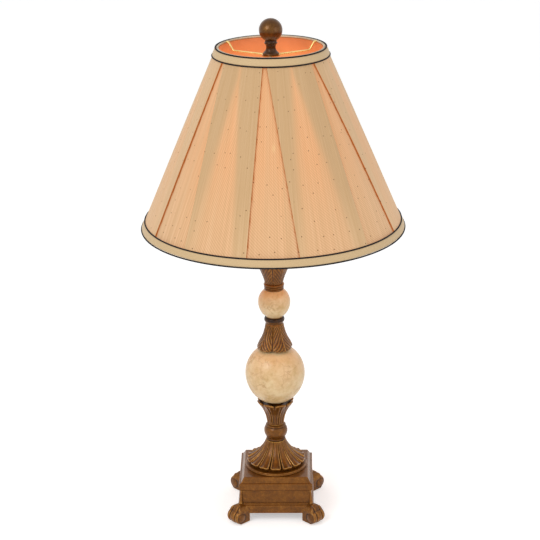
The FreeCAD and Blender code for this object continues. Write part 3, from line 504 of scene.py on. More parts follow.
# -------------------- fluted foot
# The column's foot is a flared casting of fourteen lobes that lie like petals on a plain disc.
# Each lobe has a rounded ridge between two flutes, and its tip curls up off the disc.
def repeat_tree():
    """Geometry nodes that set copies of a sector round the column's axis and weld them."""
    tree = bpy.data.node_groups.new("Repeat round the column", "GeometryNodeTree")
    for name, kind in (("Sector", "Geometry"), ("Count", "Int"), ("First turn", "Float"),
                       ("Weld distance", "Float"), ("Finish", "Material")):
        tree.interface.new_socket(name, in_out="INPUT", socket_type="NodeSocket" + kind)
    tree.interface.new_socket("Ring", in_out="OUTPUT", socket_type="NodeSocketGeometry")
    entry, spots, place, order, spin, real, weld, finish, result = [tree.nodes.new(kind) for kind in (
        "NodeGroupInput", "GeometryNodePoints", "GeometryNodeInstanceOnPoints", "GeometryNodeInputIndex",
        "ShaderNodeCombineXYZ", "GeometryNodeRealizeInstances", "GeometryNodeMergeByDistance",
        "GeometryNodeSetMaterial", "NodeGroupOutput")]
    given = entry.outputs
    step = math_node(tree, "DIVIDE", 2 * math.pi, given["Count"])
    turn = math_node(tree, "ADD", times(tree, order.outputs[0], step), given["First turn"])
    for source, target in ((given["Count"], spots.inputs["Count"]), (turn, spin.inputs["Z"]),
                           (spots.outputs[0], place.inputs["Points"]), (given["Sector"], place.inputs["Instance"]),
                           (spin.outputs[0], place.inputs["Rotation"]), (place.outputs[0], real.inputs[0]),
                           (real.outputs[0], weld.inputs["Geometry"]),
                           (given["Weld distance"], weld.inputs["Distance"]),
                           (weld.outputs[0], finish.inputs["Geometry"]),
                           (given["Finish"], finish.inputs["Material"]), (finish.outputs[0], result.inputs[0])):
        tree.links.new(source, target)
    return tree


repeat_round = repeat_tree()


def over_rows(like, *spans):
    """Values set down an outline, each span as (first row, values); the other rows are 0."""
    made = np.zeros_like(like)
    for first, values in spans:
        made[first:first + len(values)] = values[:, None]
    return made


def sector_grid(count, columns, *profile):
    """Share across (-1 to 1), radius, height and angle of each point of one sector."""
    profile = np.concatenate(profile)
    t = np.tile(np.linspace(-1, 1, columns), (len(profile), 1))
    return t, np.repeat(profile[:, :1], columns, axis=1), np.repeat(profile[:, 1:], columns, axis=1), \
        t * math.pi / count


def sector_ring(name, radius, height, angle, count, first_degrees):
    """Runs the repeat tree on a sector and keeps the whole ring as a plain mesh."""
    grid = np.stack([radius * np.cos(angle), radius * np.sin(angle), height], axis=-1)
    piece = grid_piece(name, grid, True, False)
    modifier = piece.modifiers.new("repeat", "NODES")
    modifier.node_group = repeat_round
    values = {"Count": count, "First turn": math.radians(first_degrees), "Weld distance": 0.01 * mm,
              "Finish": bronze}
    for item in repeat_round.interface.items_tree:
        if item.in_out == "INPUT" and item.name in values:
            modifier[item.identifier] = values[item.name]
    bpy.context.view_layer.update()
    mesh = bpy.data.meshes.new_from_object(piece.evaluated_get(bpy.context.evaluated_depsgraph_get()))
    piece.modifiers.clear()
    piece.data = mesh
    return clean(piece, 0.00002)


def turned_piece(name, profile, turns=128):
    """A turned solid from an outline of (radius, z) points that closes on itself."""
    angles = np.linspace(0, 2 * math.pi, turns, endpoint=False)
    profile = np.array(profile)
    grid = np.stack([profile[:, :1] * np.cos(angles), profile[:, :1] * np.sin(angles),
                     np.repeat(profile[:, 1:], turns, axis=1)], axis=-1)
    piece = clean(grid_piece(name, grid, True, True))
    mark_relief(piece)
    return piece


disc_low, disc_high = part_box("foot_disc")
disc_radius, disc_floor, disc_top = disc_high[0], disc_low[2], disc_high[2]
disc_outline = rounded(
    [(rod_hole, disc_floor)]
    + steps_from(disc_radius, disc_floor, (-0.7, 0), (0, 0.8), (0, 2.1), (-1.1, 2.5), (-0.6, 3.1))
    + steps_from(disc_radius, disc_top, (-1.0, -0.2), (-2.4, 0)) + [(rod_hole, disc_top)], 0.5 * mm, 1.2 * mm)
place_casting(turned_piece("disc_cast", disc_outline), "foot_disc")

lobe_count = 14
rim_radius = 46.5 * mm
neck_radius = 15.6 * mm
foot_neck_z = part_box("neck_ring")[0][2]
flare = curve_through(steps_from(
    0, foot_neck_z, (15.6, 0), (16.5, -2.5), (18.2, -6.5), (21.8, -12.5), (26.2, -18.3), (30.8, -23.0),
    (35.6, -26.8), (40.2, -29.6), (44.0, -31.6), (46.5, -32.5)), 10)
lip = rounded(steps_from(rim_radius, foot_neck_z, (0, -32.5), (0.3, -34.0))
              + steps_from(rim_radius, disc_top, (-2.0, 3.4), (-4.5, 1.0), (-5.5, 0)) + [(rod_hole, disc_top)],
              0.8 * mm, 1.2 * mm)[1:]
t, radius, height, angle = sector_grid(lobe_count, 37, [(rod_hole, foot_neck_z)], flare, lip)
side = np.abs(t)
on_flare = over_rows(t, (1, np.ones(len(flare))), (1 + len(flare), np.linspace(1.0, 0.0, len(lip)) ** 2))
slope_share = np.clip((radius - neck_radius) / (rim_radius - neck_radius), 0, 1)
depth = (0.35 + 1.25 * slope_share ** 0.7) * mm
lobe_shape = bell(side - 0.80, 0.13) - 1.6 * bell(side - 1.0, 0.10) + 0.5 * bell(t, 0.30) - 0.55
rise = np.clip((radius - 39 * mm) / (7.5 * mm), 0, 1) * on_flare
scallop = rise * side ** 3 * 4.2 * mm
curl = rise ** 2 * (1 - side ** 2) * 1.0 * mm
height = height + on_flare * (depth * lobe_shape * (0.30 + 0.75 * slope_share)) + curl
radius = radius + on_flare * depth * lobe_shape * (0.85 - 0.65 * slope_share) - scallop
height = np.clip(height, disc_top, foot_neck_z)
fluted = sector_ring("fluted_foot_cast", radius, height, angle, lobe_count, -90)
mark_relief(fluted, low=0.15, high=0.80)
place_casting(fluted, "fluted_foot")


# -------------------- neck ring and knob
# A thin ring and a squashed ball with a ledge on top, both turned plain, lead the eye from
# the foot to the leaf vase.
def bead_edge(low, high, radius, swell, cuts):
    """The half-round edge of a ring."""
    turn = np.radians(np.linspace(-90, 90, cuts))
    return np.stack([radius - swell + swell * np.cos(turn),
                     (low + high) / 2 + (high - low) / 2 * np.sin(turn)], axis=-1)


ring_floor, ring_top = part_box("neck_ring")[0][2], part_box("neck_ring")[1][2]
neck_ring = np.concatenate([[(rod_hole, ring_floor)], bead_edge(ring_floor, ring_top, 15.3 * mm, 1.6 * mm, 13),
                            [(rod_hole, ring_top)]])
place_casting(turned_piece("neck_ring_cast", neck_ring, 96), "neck_ring")

knob_floor, knob_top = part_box("knob")[0][2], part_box("knob")[1][2]
knob_outline = np.concatenate([
    [(rod_hole, knob_floor)],
    curve_through(steps_from(0, knob_floor, (13.2, 0), (15.6, 2.4), (18.0, 7.2), (18.7, 12.0), (18.0, 16.2),
                             (16.5, 18.9), (15.5, 19.8)), 6),
    rounded(steps_from(0, knob_floor, (15.3, 20.2), (15.9, 20.7), (16.1, 21.6), (15.2, 22.6))
            + [(13.4 * mm, knob_top), (rod_hole, knob_top)], 0.5 * mm, 1 * mm)])
place_casting(turned_piece("knob_cast", knob_outline, 112), "knob")


# -------------------- leaf vase
# A flower-shaped cup carries the large ball: eight lobes grow out of a ribbed stem, and their
# edges roll outwards. Gold is rubbed on the rolled edges.
vase_floor, ball_seat = knob_top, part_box("large_ball")[0][2]
vase_petals = 8
vase_wall = curve_through(steps_from(0, vase_floor, (12.6, 0), (12.9, 3), (13.7, 8), (14.9, 14), (16.6, 19.5),
                                     (18.8, 24.5), (21.8, 29.5), (25.0, 33.6), (27.6, 36.8)), 8)
vase_roll = curve_through(steps_from(0, vase_floor, (27.6, 36.8), (29.2, 38.6), (29.5, 40.4), (28.3, 41.4),
                                     (26.8, 40.9)), 6)[1:]
vase_dish = rounded(steps_from(0, vase_floor, (26.8, 40.9), (23.6, 37.0), (18.0, 33.0), (13, 32.4), (11, 33.4))
                    + [(11 * mm, ball_seat), (rod_hole, ball_seat)], 0.8 * mm, 1.4 * mm)[1:]
t, radius, height, angle = sector_grid(vase_petals, 41, [(rod_hole, vase_floor)], vase_wall, vase_roll, vase_dish)
side = np.abs(t)
wall_end, roll_rows = 1 + len(vase_wall), len(vase_roll) + 3
on_wall = over_rows(t, (1, np.clip(np.linspace(1.6, 0.4, wall_end - 1), 0, 1)))
on_rim = over_rows(t, (wall_end - 22, np.linspace(0, 1, 22) ** 1.5), (wall_end, np.ones(roll_rows)),
                   (wall_end + roll_rows, np.linspace(1, 0, 7)))
ribs = 1.1 * bell(side - 0.26, 0.14) - 1.0 * bell(t, 0.11) - 0.5 * bell(side - 0.56, 0.14)
grow = np.clip((height - vase_floor) / (5 * mm), 0, 1)
radius = radius + on_wall * ribs * 0.8 * mm * grow - on_rim * side ** 4 * 5.0 * mm
height = height - on_rim * (side ** 3 * 2.6 - 0.7 * (1 - side ** 2)) * mm
height = np.clip(height, vase_floor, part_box("leaf_vase")[1][2])
vase = sector_ring("leaf_vase_cast", radius, height, angle, vase_petals, -92 + 22.5)
mark_relief(vase, low=0.34)
place_casting(vase, "leaf_vase")


# -------------------- marbled balls
# Two balls of cast resin, painted cream with soft peach clouds, faint brown crackle veins and
# a thin clear coat. The lower half of each is a little longer than a sphere. Each ball's top
# carries a painted orange glow, the lit shade's light falling on it, stronger on the small ball.
def mix(tree, amount, first, second):
    """Mixes two colours, each a socket or a tuple, by a socket or a number."""
    node = tree.nodes.new("ShaderNodeMix")
    node.data_type = "RGBA"
    for index, value in ((0, amount), (6, first), (7, second)):
        if isinstance(value, tuple):
            node.inputs[index].default_value = value + (1.0,)
        elif isinstance(value, (int, float)):
            node.inputs[index].default_value = value
        else:
            tree.links.new(value, node.inputs[index])
    return node.outputs[2]


def layered(tree, colour, *layers):
    """Lays tints over a colour, each as (amount, tint)."""
    for amount, tint in layers:
        colour = mix(tree, amount, colour, tint)
    return colour


def marble_finish(name, scale, glow_depth):
    """Cream resin with clouds and crackle; its crown carries a painted glow from the lit shade."""
    made, tree, shader = new_material(name)
    place = object_place(tree)
    wander = tree.nodes.new("ShaderNodeTexNoise")
    wander.inputs["Scale"].default_value = scale
    wander.inputs["Detail"].default_value = 5.0
    warp = tree.nodes.new("ShaderNodeMix")
    warp.data_type = "VECTOR"
    warp.inputs[0].default_value = 0.035
    for source, target in ((place, wander.inputs["Vector"]), (place, warp.inputs[4]),
                           (wander.outputs["Color"], warp.inputs[5])):
        tree.links.new(source, target)

    def crackle(factor, *stops):
        cell = tree.nodes.new("ShaderNodeTexVoronoi")
        cell.feature = "DISTANCE_TO_EDGE"
        cell.inputs["Scale"].default_value = scale * factor
        tree.links.new(warp.outputs[1], cell.inputs["Vector"])
        return ramp(tree, cell.outputs["Distance"], *stops)

    presence = ramp(tree, noise(tree, scale * 0.5, 4.0, 0.6, place), (0.44, 0.0), (0.62, 1.0))
    strong = crackle(1.0, (0.0, 1.0), (0.035, 0.5), (0.09, 0.0))
    fine = crackle(2.3, (0.0, 0.55), (0.06, 0.0))
    vein = times(tree, math_node(tree, "ADD", strong, fine, True), presence)
    patch = noise(tree, scale * 0.9, 6.0, 0.7)
    ground = ramp(tree, patch, (0.30, (0.60, 0.40, 0.150)), (0.46, (0.74, 0.52, 0.265)),
                  (0.60, (0.82, 0.62, 0.350)), (0.75, (0.84, 0.58, 0.33)))
    blush = ramp(tree, noise(tree, scale * 0.35, 2.0, 0.5), (0.45, 0.0), (0.7, 0.5))
    # painted glow: the ball's top is tinted orange, standing in for the lit shade's light falling on it
    painted_glow = times(tree, ramp(tree, attribute(tree, "crown"), (0.25, 0.0), (0.95, glow_depth)),
                 ramp(tree, patch, (0.3, 1.0), (0.7, 0.55)))
    set_shader(tree, shader, {
        "Base Color": layered(tree, ground, (blush, (0.80, 0.53, 0.28)), (painted_glow, (0.80, 0.49, 0.21)),
                              (times(tree, vein, 0.55), (0.42, 0.19, 0.045))),
        "Roughness": ramp(tree, vein, (0.0, 0.34), (1.0, 0.5)),
        "Specular IOR Level": 0.3, "Coat Weight": 0.25, "Coat Roughness": 0.18,
        "Subsurface Weight": 0.08, "Subsurface Radius": (0.006, 0.003, 0.0015)})
    bump(tree, shader, math_node(tree, "SUBTRACT", patch, vein), 0.15, 0.0002)
    return made


def ball_piece(name, node, finish, radius, seat_radius, top_radius):
    """A ball between a flat seat and a flat top, placed by its CAD node's height."""
    stretch = 1.09
    bottom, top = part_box(node)[0][2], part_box(node)[1][2]
    centre = bottom + radius * stretch * math.sqrt(1 - (seat_radius / radius) ** 2)
    turn = np.linspace(-math.acos(seat_radius / radius), math.acos(top_radius / radius), 80)
    half = np.where(turn < 0, radius * stretch, radius)
    edge = np.stack([radius * np.cos(turn), centre + half * np.sin(turn)], axis=-1)
    edge[0, 1], edge[-1, 1] = bottom, top
    piece = turned_piece(name, np.concatenate([[(rod_hole, bottom)], edge, [(rod_hole, top)]]), 144)
    store(piece, "crown", [(v.co.z - centre) / radius for v in piece.data.vertices])
    place_piece(piece, finish, "marbled_resin", "lamp_body", node)


# the last number sets the painted glow on each ball's top; the small ball sits nearer the lit shade
marble = marble_finish("crackled marble resin", 58.0, 0.32)
glow_lit_marble = marble_finish("marble resin with strong painted glow", 62.0, 0.72)
ball_piece("large_ball_cast", "large_ball", marble, 47.0 * mm, 11.0 * mm, 10.0 * mm)
ball_piece("small_ball_cast", "small_ball", glow_lit_marble, 25.15 * mm, 13.0 * mm, 14.6 * mm)


# -------------------- leaf bell
# Four broad leaves hang over the large ball like a skirt. A raised rib runs down each leaf,
# veins slant down and out from it, and a groove parts it from its neighbours.
leaf_count = 4


def leaf_relief(along, across, veins, slant, vein_height, vein_start, midrib, groove):
    """How far a leaf's veins, midrib and side grooves stand out, in millimetres."""
    side = np.abs(across)
    wave = np.sin(2 * math.pi * (along * veins - side * slant))
    fade = np.clip(side / 0.12, 0, 1) * np.clip((0.97 - side) / 0.12, 0, 1)
    fade = fade * np.clip(along / vein_start, 0, 1)
    lines = midrib * bell(across, 0.055) - groove * bell(side - 1.0, 0.055)
    return vein_height * wave * fade + lines * np.clip(along / 0.05, 0, 1)


bell_floor, bell_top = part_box("large_ball")[1][2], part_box("middle_collar")[0][2]
bell_tip = bell_floor - 2.5 * mm
bell_wall = curve_through(steps_from(
    0, bell_top, (13.5, 0), (14.3, -1.6), (14.8, -5.0), (15.8, -9.0), (17.0, -13.5), (18.7, -18.5),
    (21.0, -24.0), (23.8, -29.0), (26.2, -33.5), (27.6, -37.2)) + [(27.9 * mm, bell_tip)], 10)
bell_inside = rounded(steps_from(0, bell_tip, (27.9, 0), (26.6, 0))
                      + steps_from(0, bell_floor, (25.0, -0.6), (20.0, 5.8), (11, 5.0), (11, 0))
                      + [(rod_hole, bell_floor)], 0.8 * mm, 1.3 * mm)[1:]
t, radius, height, angle = sector_grid(leaf_count, 73, [(rod_hole, bell_top)], bell_wall, bell_inside)
side = np.abs(t)
leaf_rows = 1 + len(bell_wall)
down = over_rows(t, (1, np.linspace(0, 1, len(bell_wall))))
on_leaf = over_rows(t, (1, np.ones(len(bell_wall))))
swell = 0.9 * (np.cos(t * math.pi) + 0.2) * down * 0.55
radius = radius + on_leaf * (leaf_relief(down, t, 6.0, 3.6, 0.34, 0.06, 0.95, 1.25) + swell) * mm
radius[leaf_rows:leaf_rows + 3] += swell[leaf_rows - 1] * mm
notch = side ** 7 * 4.2 * mm + 0.35 * mm * np.sin(side * math.pi * 5) ** 2
lift = np.where(on_leaf > 0, np.clip((down - 0.86) / 0.14, 0, 1),
                np.clip(1 - (height - bell_tip) / (4 * mm), 0, 1) * (radius > 19 * mm))
height = np.clip(height + lift * notch, bell_tip, bell_top)
leaves = sector_ring("leaf_bell_cast", radius, height, angle, leaf_count, -98 + 45)
mark_relief(leaves, high=0.85)
place_casting(leaves, "leaf_bell")


# -------------------- collars
# Turned rings stand below and above the small ball: one dished collar below it, whose upper
# part, under the small ball, is darkened almost black, and a stack of three beads above it.
collar_floor, collar_top = bell_top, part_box("small_ball")[0][2]
collar_outline = np.concatenate([
    [(rod_hole, collar_floor)],
    curve_through(steps_from(0, collar_floor, (14.2, 0), (13.5, 0.9), (13.4, 2.6), (14.2, 3.7), (15.4, 4.6),
                             (15.9, 6.6), (15.8, 8.6), (15.1, 10.2), (14.0, 11.2)) + [(13.0 * mm, collar_top)], 6),
    [(rod_hole, collar_top)]])
collar = turned_piece("middle_collar_cast", collar_outline, 96)
relief_data = collar.data.attributes["relief"].data
up = np.array([v.co.z - collar_floor for v in collar.data.vertices])
# the collar's upper part, under the small ball, is made darker, almost black
darkening = 0.34 * np.clip((up - 5.2 * mm) / (1.2 * mm), 0, 1)
relief_data.foreach_set("value", np.array([item.value for item in relief_data]) - darkening)
place_casting(collar, "middle_collar")

stack_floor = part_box("small_ball")[1][2]
bead_height = 10.4 * mm / 3
stack = [[(rod_hole, stack_floor)]]
for index, size in enumerate((15.3, 15.5, 16.1)):
    low = stack_floor + bead_height * index
    stack.append(bead_edge(low, low + bead_height, size * mm, 1.5 * mm, 11))
stack_top = stack_floor + 3 * bead_height
stack.append([(rod_hole, stack_top)])
place_casting(turned_piece("upper_collar_cast", np.concatenate(stack), 96), "upper_collar")


# -------------------- upper cup
# An upright cup of four leaves with slanted veins, the bell's twin, reaches up under the
# shade. A brass cap closes it.
cup_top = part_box("vase_cap")[0][2]
cup_wall = curve_through(steps_from(0, stack_top, (13.4, 0), (14.2, 1.2), (15.2, 5.6), (17.2, 12.0),
                                    (20.0, 19.0), (23.0, 27.0), (25.8, 36.5), (27.6, 44.5))
                         + [(28.0 * mm, cup_top)], 12)
cup_web = stack_top + 16 * mm
cup_inside = [(24 * mm, cup_top), (14 * mm, cup_web), (rod_hole, cup_web)]
t, radius, height, angle = sector_grid(leaf_count, 73, [(rod_hole, stack_top)], cup_wall, cup_inside)
up = over_rows(t, (1, np.linspace(0, 1, len(cup_wall))))
on_leaf = over_rows(t, (1, np.ones(len(cup_wall) - 1)))
carving = leaf_relief(up, t, 9.0, 3.4, 0.20, 0.05, 0.54, 0.84) * mm
radius = radius + on_leaf * carving * np.clip((1 - up) / 0.06, 0, 1)
cup = sector_ring("upper_cup_cast", radius, height, angle, leaf_count, -94 + 45)
mark_relief(cup)
place_casting(cup, "upper_cup")


# -------------------- cap, neck and harp
# A spun brass cap and a brass tube hide the threaded rod. The harp is brass-plated steel wire
# whose ends stand in a bent saddle, each held by a ferrule that slides up.
brass = plain_finish("lacquered brass", (0.42, 0.25, 0.075), (0.80, 0.56, 0.24), 0.30, 1.0, 1100.0, 0.00006)
dress_nodes(brass, "vase_cap", "neck_tube", "harp_saddle", "harp_wire", "harp_swivel", "ferrule_left",
            "ferrule_right", "finial_insert", "spider_washer")


# -------------------- socket and switch
# The socket is a thin brass cap and shell around a card sleeve and a plastic body. A ribbed
# knob on a steel shaft turns the light on and off.
card = plain_finish("grey insulating card", (0.20, 0.17, 0.13), (0.42, 0.36, 0.28), 0.9, 0.0, 900.0, 0.0002)
dress_nodes(brass, "socket_cap", "socket_shell", "socket_screw_shell", "socket_contact")
dress_nodes(card, "socket_insulator")
dress_nodes(black_plastic, "socket_body", "switch_knob")
dress_nodes(steel, "switch_shaft")


# -------------------- bulb
# A soft white bulb, lit. Its screw base is rolled aluminium with a black glass insulator and
# a solder tip.
aluminium = plain_finish("rolled aluminium", (0.45, 0.45, 0.44), (0.75, 0.75, 0.73), 0.33, 1.0, 1300.0, 0.0001)
solder = plain_finish("solder", (0.35, 0.35, 0.36), (0.6, 0.6, 0.6), 0.4, 1.0, 2000.0, 0.0002)
glass_black = plain_finish("black glass", (0.004, 0.004, 0.005), (0.015, 0.015, 0.018), 0.15, 0.0, 900.0,
                           0.0001)
bulb_glass, tree, shader = new_material("soft white bulb glass")
frost = noise(tree, 900.0, 3.0, 0.6)
warm = noise(tree, 30.0, 1.0, 0.4)
set_shader(tree, shader, {
    "Base Color": ramp(tree, frost, (0.3, (0.88, 0.84, 0.76)), (0.7, (0.94, 0.91, 0.85))),
    "Roughness": 0.35,
    "Emission Color": ramp(tree, warm, (0.2, (1.0, 0.74, 0.42)), (0.8, (1.0, 0.84, 0.58))),
    "Emission Strength": 1.1})
dress_nodes(bulb_glass, "bulb_glass")
dress_nodes(aluminium, "bulb_screw_base")
dress_nodes(glass_black, "bulb_insulator", "bulb_stem")
dress_nodes(solder, "bulb_contact", "bulb_filament")


# -------------------- shade wires and lining
# Two steel wire rings hold the shade's shape. The lining is thin styrene, which the bulb lights
# to a warm orange; it is brightest around the bulb's height.
ring_paint = plain_finish("cream wire enamel", (0.50, 0.40, 0.27), (0.72, 0.62, 0.46), 0.5, 0.0, 1200.0,
                          0.0001)
bright_brass = plain_finish("bright brass wire", (0.72, 0.50, 0.16), (0.95, 0.76, 0.34), 0.25, 0.8, 1100.0,
                            0.00004)
dress_nodes(ring_paint, "shade_top_ring", "shade_bottom_ring")
dress_nodes(bright_brass, "spider_arms")
shade_top = 756.34 * mm
shade_height = 279.2 * mm
shade_bottom = shade_top - shade_height
top_radius = 82.4 * mm
bottom_radius = 202.2 * mm
slope = (bottom_radius - top_radius) / shade_height


def cone_radius(z, inset=0.0):
    """The shade's outline at a height, less an inset."""
    return top_radius + (shade_top - z) * slope - inset


def object_axes(tree):
    """The piece's own X, Y and Z, each on its own socket."""
    split = tree.nodes.new("ShaderNodeSeparateXYZ")
    tree.links.new(tree.nodes.new("ShaderNodeTexCoord").outputs["Object"], split.inputs[0])
    return split.outputs


def shade_level(tree):
    """0 at the shade's lower rim and 1 at its upper rim."""
    above = math_node(tree, "SUBTRACT", object_axes(tree)["Z"], shade_bottom)
    return math_node(tree, "DIVIDE", above, shade_height)


lining_finish, tree, shader = new_material("lit styrene lining")
set_shader(tree, shader, {
    "Base Color": ramp(tree, noise(tree, 40.0, 3.0, 0.5), (0.3, (0.46, 0.155, 0.050)), (0.7, (0.58, 0.21, 0.075))),
    "Emission Color": ramp(tree, shade_level(tree), (0.0, (0.75, 0.40, 0.20)), (0.45, (0.98, 0.55, 0.24)),
                           (0.84, (0.98, 0.42, 0.13)), (0.92, (0.66, 0.21, 0.065)), (1.0, (0.36, 0.10, 0.040))),
    "Emission Strength": 0.55, "Roughness": 0.55})
dress_nodes(lining_finish, "shade_lining")


# -------------------- pleated shade fabric
# Tan faux silk with a fine twill and dark slubs, laid in seven inverted box pleats. Its folds
# meet at the top and part towards the bottom. Where three layers lie together less light
# comes through, so those bands look tan and the single layer between them peach.
pleat_count = 7
pitch = 2 * math.pi / pleat_count
fabric_inset = 1.3 * mm
fabric_top = shade_top - 3.7 * mm
fabric_bottom = shade_bottom + 3.7 * mm
opening_top = 3.0 * mm
opening_bottom = 80.0 * mm
return_top = 36.0 * mm
under_drop = 2.8 * mm
back_drop = 1.4 * mm
face_drop = 0.1 * mm
cloth_rows = 90
# for each pleat, in millimetres: how far its middle is off at the top and at the hem, and how
# wide its folded-back cloth is at the hem, left and right
apex_drift = (-8.1, -10.5, -4.0, 3.0, 5.0, 1.0, -2.6)
hem_drift = (3.9, 21.5, 12.0, -4.0, 4.0, -8.0, -0.7)
return_left = (20.0, 26.0, 12.0, 9.0, 14.0, 8.0, 10.0)
return_right = (8.0, 8.0, 14.0, 11.0, 8.0, 16.0, 10.0)


def half_pleat(radius, half, back, reach):
    """From a pleat's middle to its neighbour's border: rows of (angle, inset)."""
    fold = 0.35 * mm / radius
    back = min(back, reach - half - 0.012)
    under = [(a, under_drop) for a in np.linspace(0, half + back, 20)]
    turn = [(half + back + fold, (under_drop + back_drop) / 2)]
    behind = [(a, back_drop) for a in np.linspace(half + back, half + fold, 10)]
    face = [(half, back_drop / 2)] + [(a, 0.0) for a in np.linspace(half + fold, reach, 36)]
    return np.array(under + turn + behind + face), back


def pleated_row(u):
    """The cloth's section at a share of its height: angle, inset, layers' light and fold's shade."""
    z = fabric_top + (fabric_bottom - fabric_top) * u
    radius = cone_radius(z, fabric_inset)
    half = (opening_top + (opening_bottom - opening_top) * u) / 2 / radius
    centres = [pitch * k + (top * (1 - u) + hem * u) * mm / radius
               for k, (top, hem) in enumerate(zip(apex_drift, hem_drift))]
    parts = []
    for k, centre in enumerate(centres):
        after = centres[(k + 1) % pleat_count] + (2 * math.pi if k == pleat_count - 1 else 0)
        before = centres[k - 1] - (2 * math.pi if k == 0 else 0)
        for way, reach, last in ((-1, (centre - before) / 2, return_left[k]),
                                 (1, (after - centre) / 2, return_right[k])):
            back = (return_top + (last * mm - return_top) * u) / radius
            spots, back = half_pleat(radius, half, back, reach)
            across, inset = (spots[1:] if way < 0 else spots[:-1]).T
            face = inset < face_drop
            soft = (1.0 + 3.0 * u * (1.0 + 0.6 * math.sin(3.1 * k + way))) * mm
            single = np.where(face, 1 / (1 + np.exp(-(across - half - back) * radius / soft)), 1.0)
            near_fold = 0.7 * np.exp(-np.maximum(half - across, 0) * radius / (0.7 * mm))
            shade = np.where(face, 0.0, np.where(across > half - 1e-6, 1.0, near_fold))
            parts.append(np.array([centre + way * across, inset, single, shade])[:, ::way])
    return z, radius, *np.concatenate(parts, axis=1)


cloth_grid, singles, shades = [], [], []
for row in range(cloth_rows + 1):
    u = row / cloth_rows
    z, radius, angle, inset, single, shade = pleated_row(u)
    angle = angle - math.pi / 2
    ripple = 0.35 * mm * np.sin(angle * 41 + 3 * np.sin(angle * 9)) * math.sin(math.pi * u)
    here = radius - inset - 0.25 * mm + ripple * (inset < face_drop)
    cloth_grid.append(np.stack([here * np.cos(angle), here * np.sin(angle), np.full(len(angle), z)], axis=-1))
    singles.append(single)
    shades.append(shade)
cloth_grid = np.array(cloth_grid)
cloth = grid_piece("pleated_cloth", cloth_grid, False, True)
store(cloth, "single", np.concatenate(singles))
store(cloth, "fold_shade", np.concatenate(shades))
smooth_faces(cloth)


def polar_place(tree, turns_scale, height_scale):
    """Coordinates that run round the shade and down its slope."""
    own = object_axes(tree)
    flat = tree.nodes.new("ShaderNodeCombineXYZ")
    around = math_node(tree, "ARCTAN2", own["X"], times(tree, own["Y"], -1.0))
    tree.links.new(times(tree, around, turns_scale), flat.inputs["X"])
    tree.links.new(times(tree, own["Z"], height_scale), flat.inputs["Y"])
    return flat.outputs[0]


silk, tree, shader = new_material("tan faux silk")
single, shade = attribute(tree, "single"), attribute(tree, "fold_shade")
level = shade_level(tree)
streak = noise(tree, 1.0, 4.0, 0.6, polar_place(tree, 75.0, 5.0))
folds = noise(tree, 1.0, 3.0, 0.55, polar_place(tree, 11.0, 1.3))
weft = noise(tree, 1500.0, 2.0, 0.5, object_place(tree, (1, 1, 0.25)))
slub_cell = tree.nodes.new("ShaderNodeTexVoronoi")
slub_cell.voronoi_dimensions = "2D"
slub_cell.inputs["Scale"].default_value = 0.060
tree.links.new(polar_place(tree, 140.0, 900.0), slub_cell.inputs["Vector"])
slub = times(tree, ramp(tree, slub_cell.outputs["Distance"], (0.030, 1.0), (0.055, 0.0)),
             ramp(tree, slub_cell.outputs["Color"], (0.50, 0.0), (0.56, 1.0)))
slub = times(tree, slub, 0.85)
twill = tree.nodes.new("ShaderNodeTexWave")
twill.bands_direction = "DIAGONAL"
twill.inputs["Scale"].default_value = 0.145
twill.inputs["Distortion"].default_value = 0.5
tree.links.new(polar_place(tree, 175.0, 1000.0), twill.inputs["Vector"])
ridges = times(tree, twill.outputs["Fac"], math_node(tree, "ADD", 0.30, times(tree, single, 0.70)))
thin = times(tree, math_node(tree, "SUBTRACT", 0.58, streak, True), 0.9)
creased = times(tree, math_node(tree, "SUBTRACT", 0.56, folds, True), 2.2)

# painted light: towards the lamp's two sides the cloth's glow turns a paler cream, as lit cloth looks seen edge-on
own = object_axes(tree)
aside = math_node(tree, "SINE", math_node(tree, "ABSOLUTE", math_node(tree, "ARCTAN2", own["X"], own["Y"])))
painted_side_paling = ramp(tree, aside, (0.70, 0.0), (0.92, 0.6))

# the bulb's hot spot, a tall bright fleck on the front
spot_narrow = 2.6
spot = tree.nodes.new("ShaderNodeVectorMath")
spot.operation = "DISTANCE"
spot.inputs[1].default_value = (0.005 * spot_narrow, -0.134, 0.637)
tree.links.new(object_place(tree, (spot_narrow, 1, 1)), spot.inputs[0])
hot = ramp(tree, spot.outputs["Value"], (0.002, 0.85), (0.009, 0.0))

base = ramp(tree, streak, (0.25, (0.44, 0.295, 0.150)), (0.55, (0.50, 0.345, 0.190)), (0.8, (0.57, 0.41, 0.245)))
lit = ramp(tree, level, (0.0, (0.84, 0.45, 0.255)), (0.22, (0.90, 0.43, 0.215)), (0.5, (1.0, 0.345, 0.125)),
           (0.85, (0.98, 0.34, 0.125)), (1.0, (0.84, 0.30, 0.12)))
banded = ramp(tree, level, (0.0, (0.54, 0.33, 0.165)), (0.35, (0.36, 0.195, 0.080)), (1.0, (0.31, 0.165, 0.068)))
glow = mix(tree, single, banded, mix(tree, creased, lit, (0.70, 0.42, 0.235)))
set_shader(tree, shader, {
    "Base Color": layered(tree, base, (times(tree, ridges, 0.22), (0.34, 0.18, 0.07)),
                          (slub, (0.09, 0.035, 0.010)), (shade, (0.07, 0.010, 0.001))),
    "Emission Color": layered(tree, glow, (painted_side_paling, (0.74, 0.49, 0.33)), (shade, (0.95, 0.22, 0.008)),
                              (slub, (0.12, 0.05, 0.015)), (times(tree, ridges, 0.48), (0.44, 0.13, 0.025)),
                              (thin, (0.34, 0.18, 0.08)), (hot, (1.0, 0.62, 0.26))),
    "Emission Strength": 0.45, "Roughness": 0.62, "Specular IOR Level": 0.1,
    "Sheen Weight": 0.32, "Sheen Roughness": 0.5, "Sheen Tint": (1.0, 0.88, 0.70, 1.0)})
bump(tree, shader, math_node(tree, "ADD", times(tree, twill.outputs["Fac"], 0.7), weft), 0.35, 0.0003)

place_piece(cloth, silk, "shade_fabric", "shade", "shade_fabric")


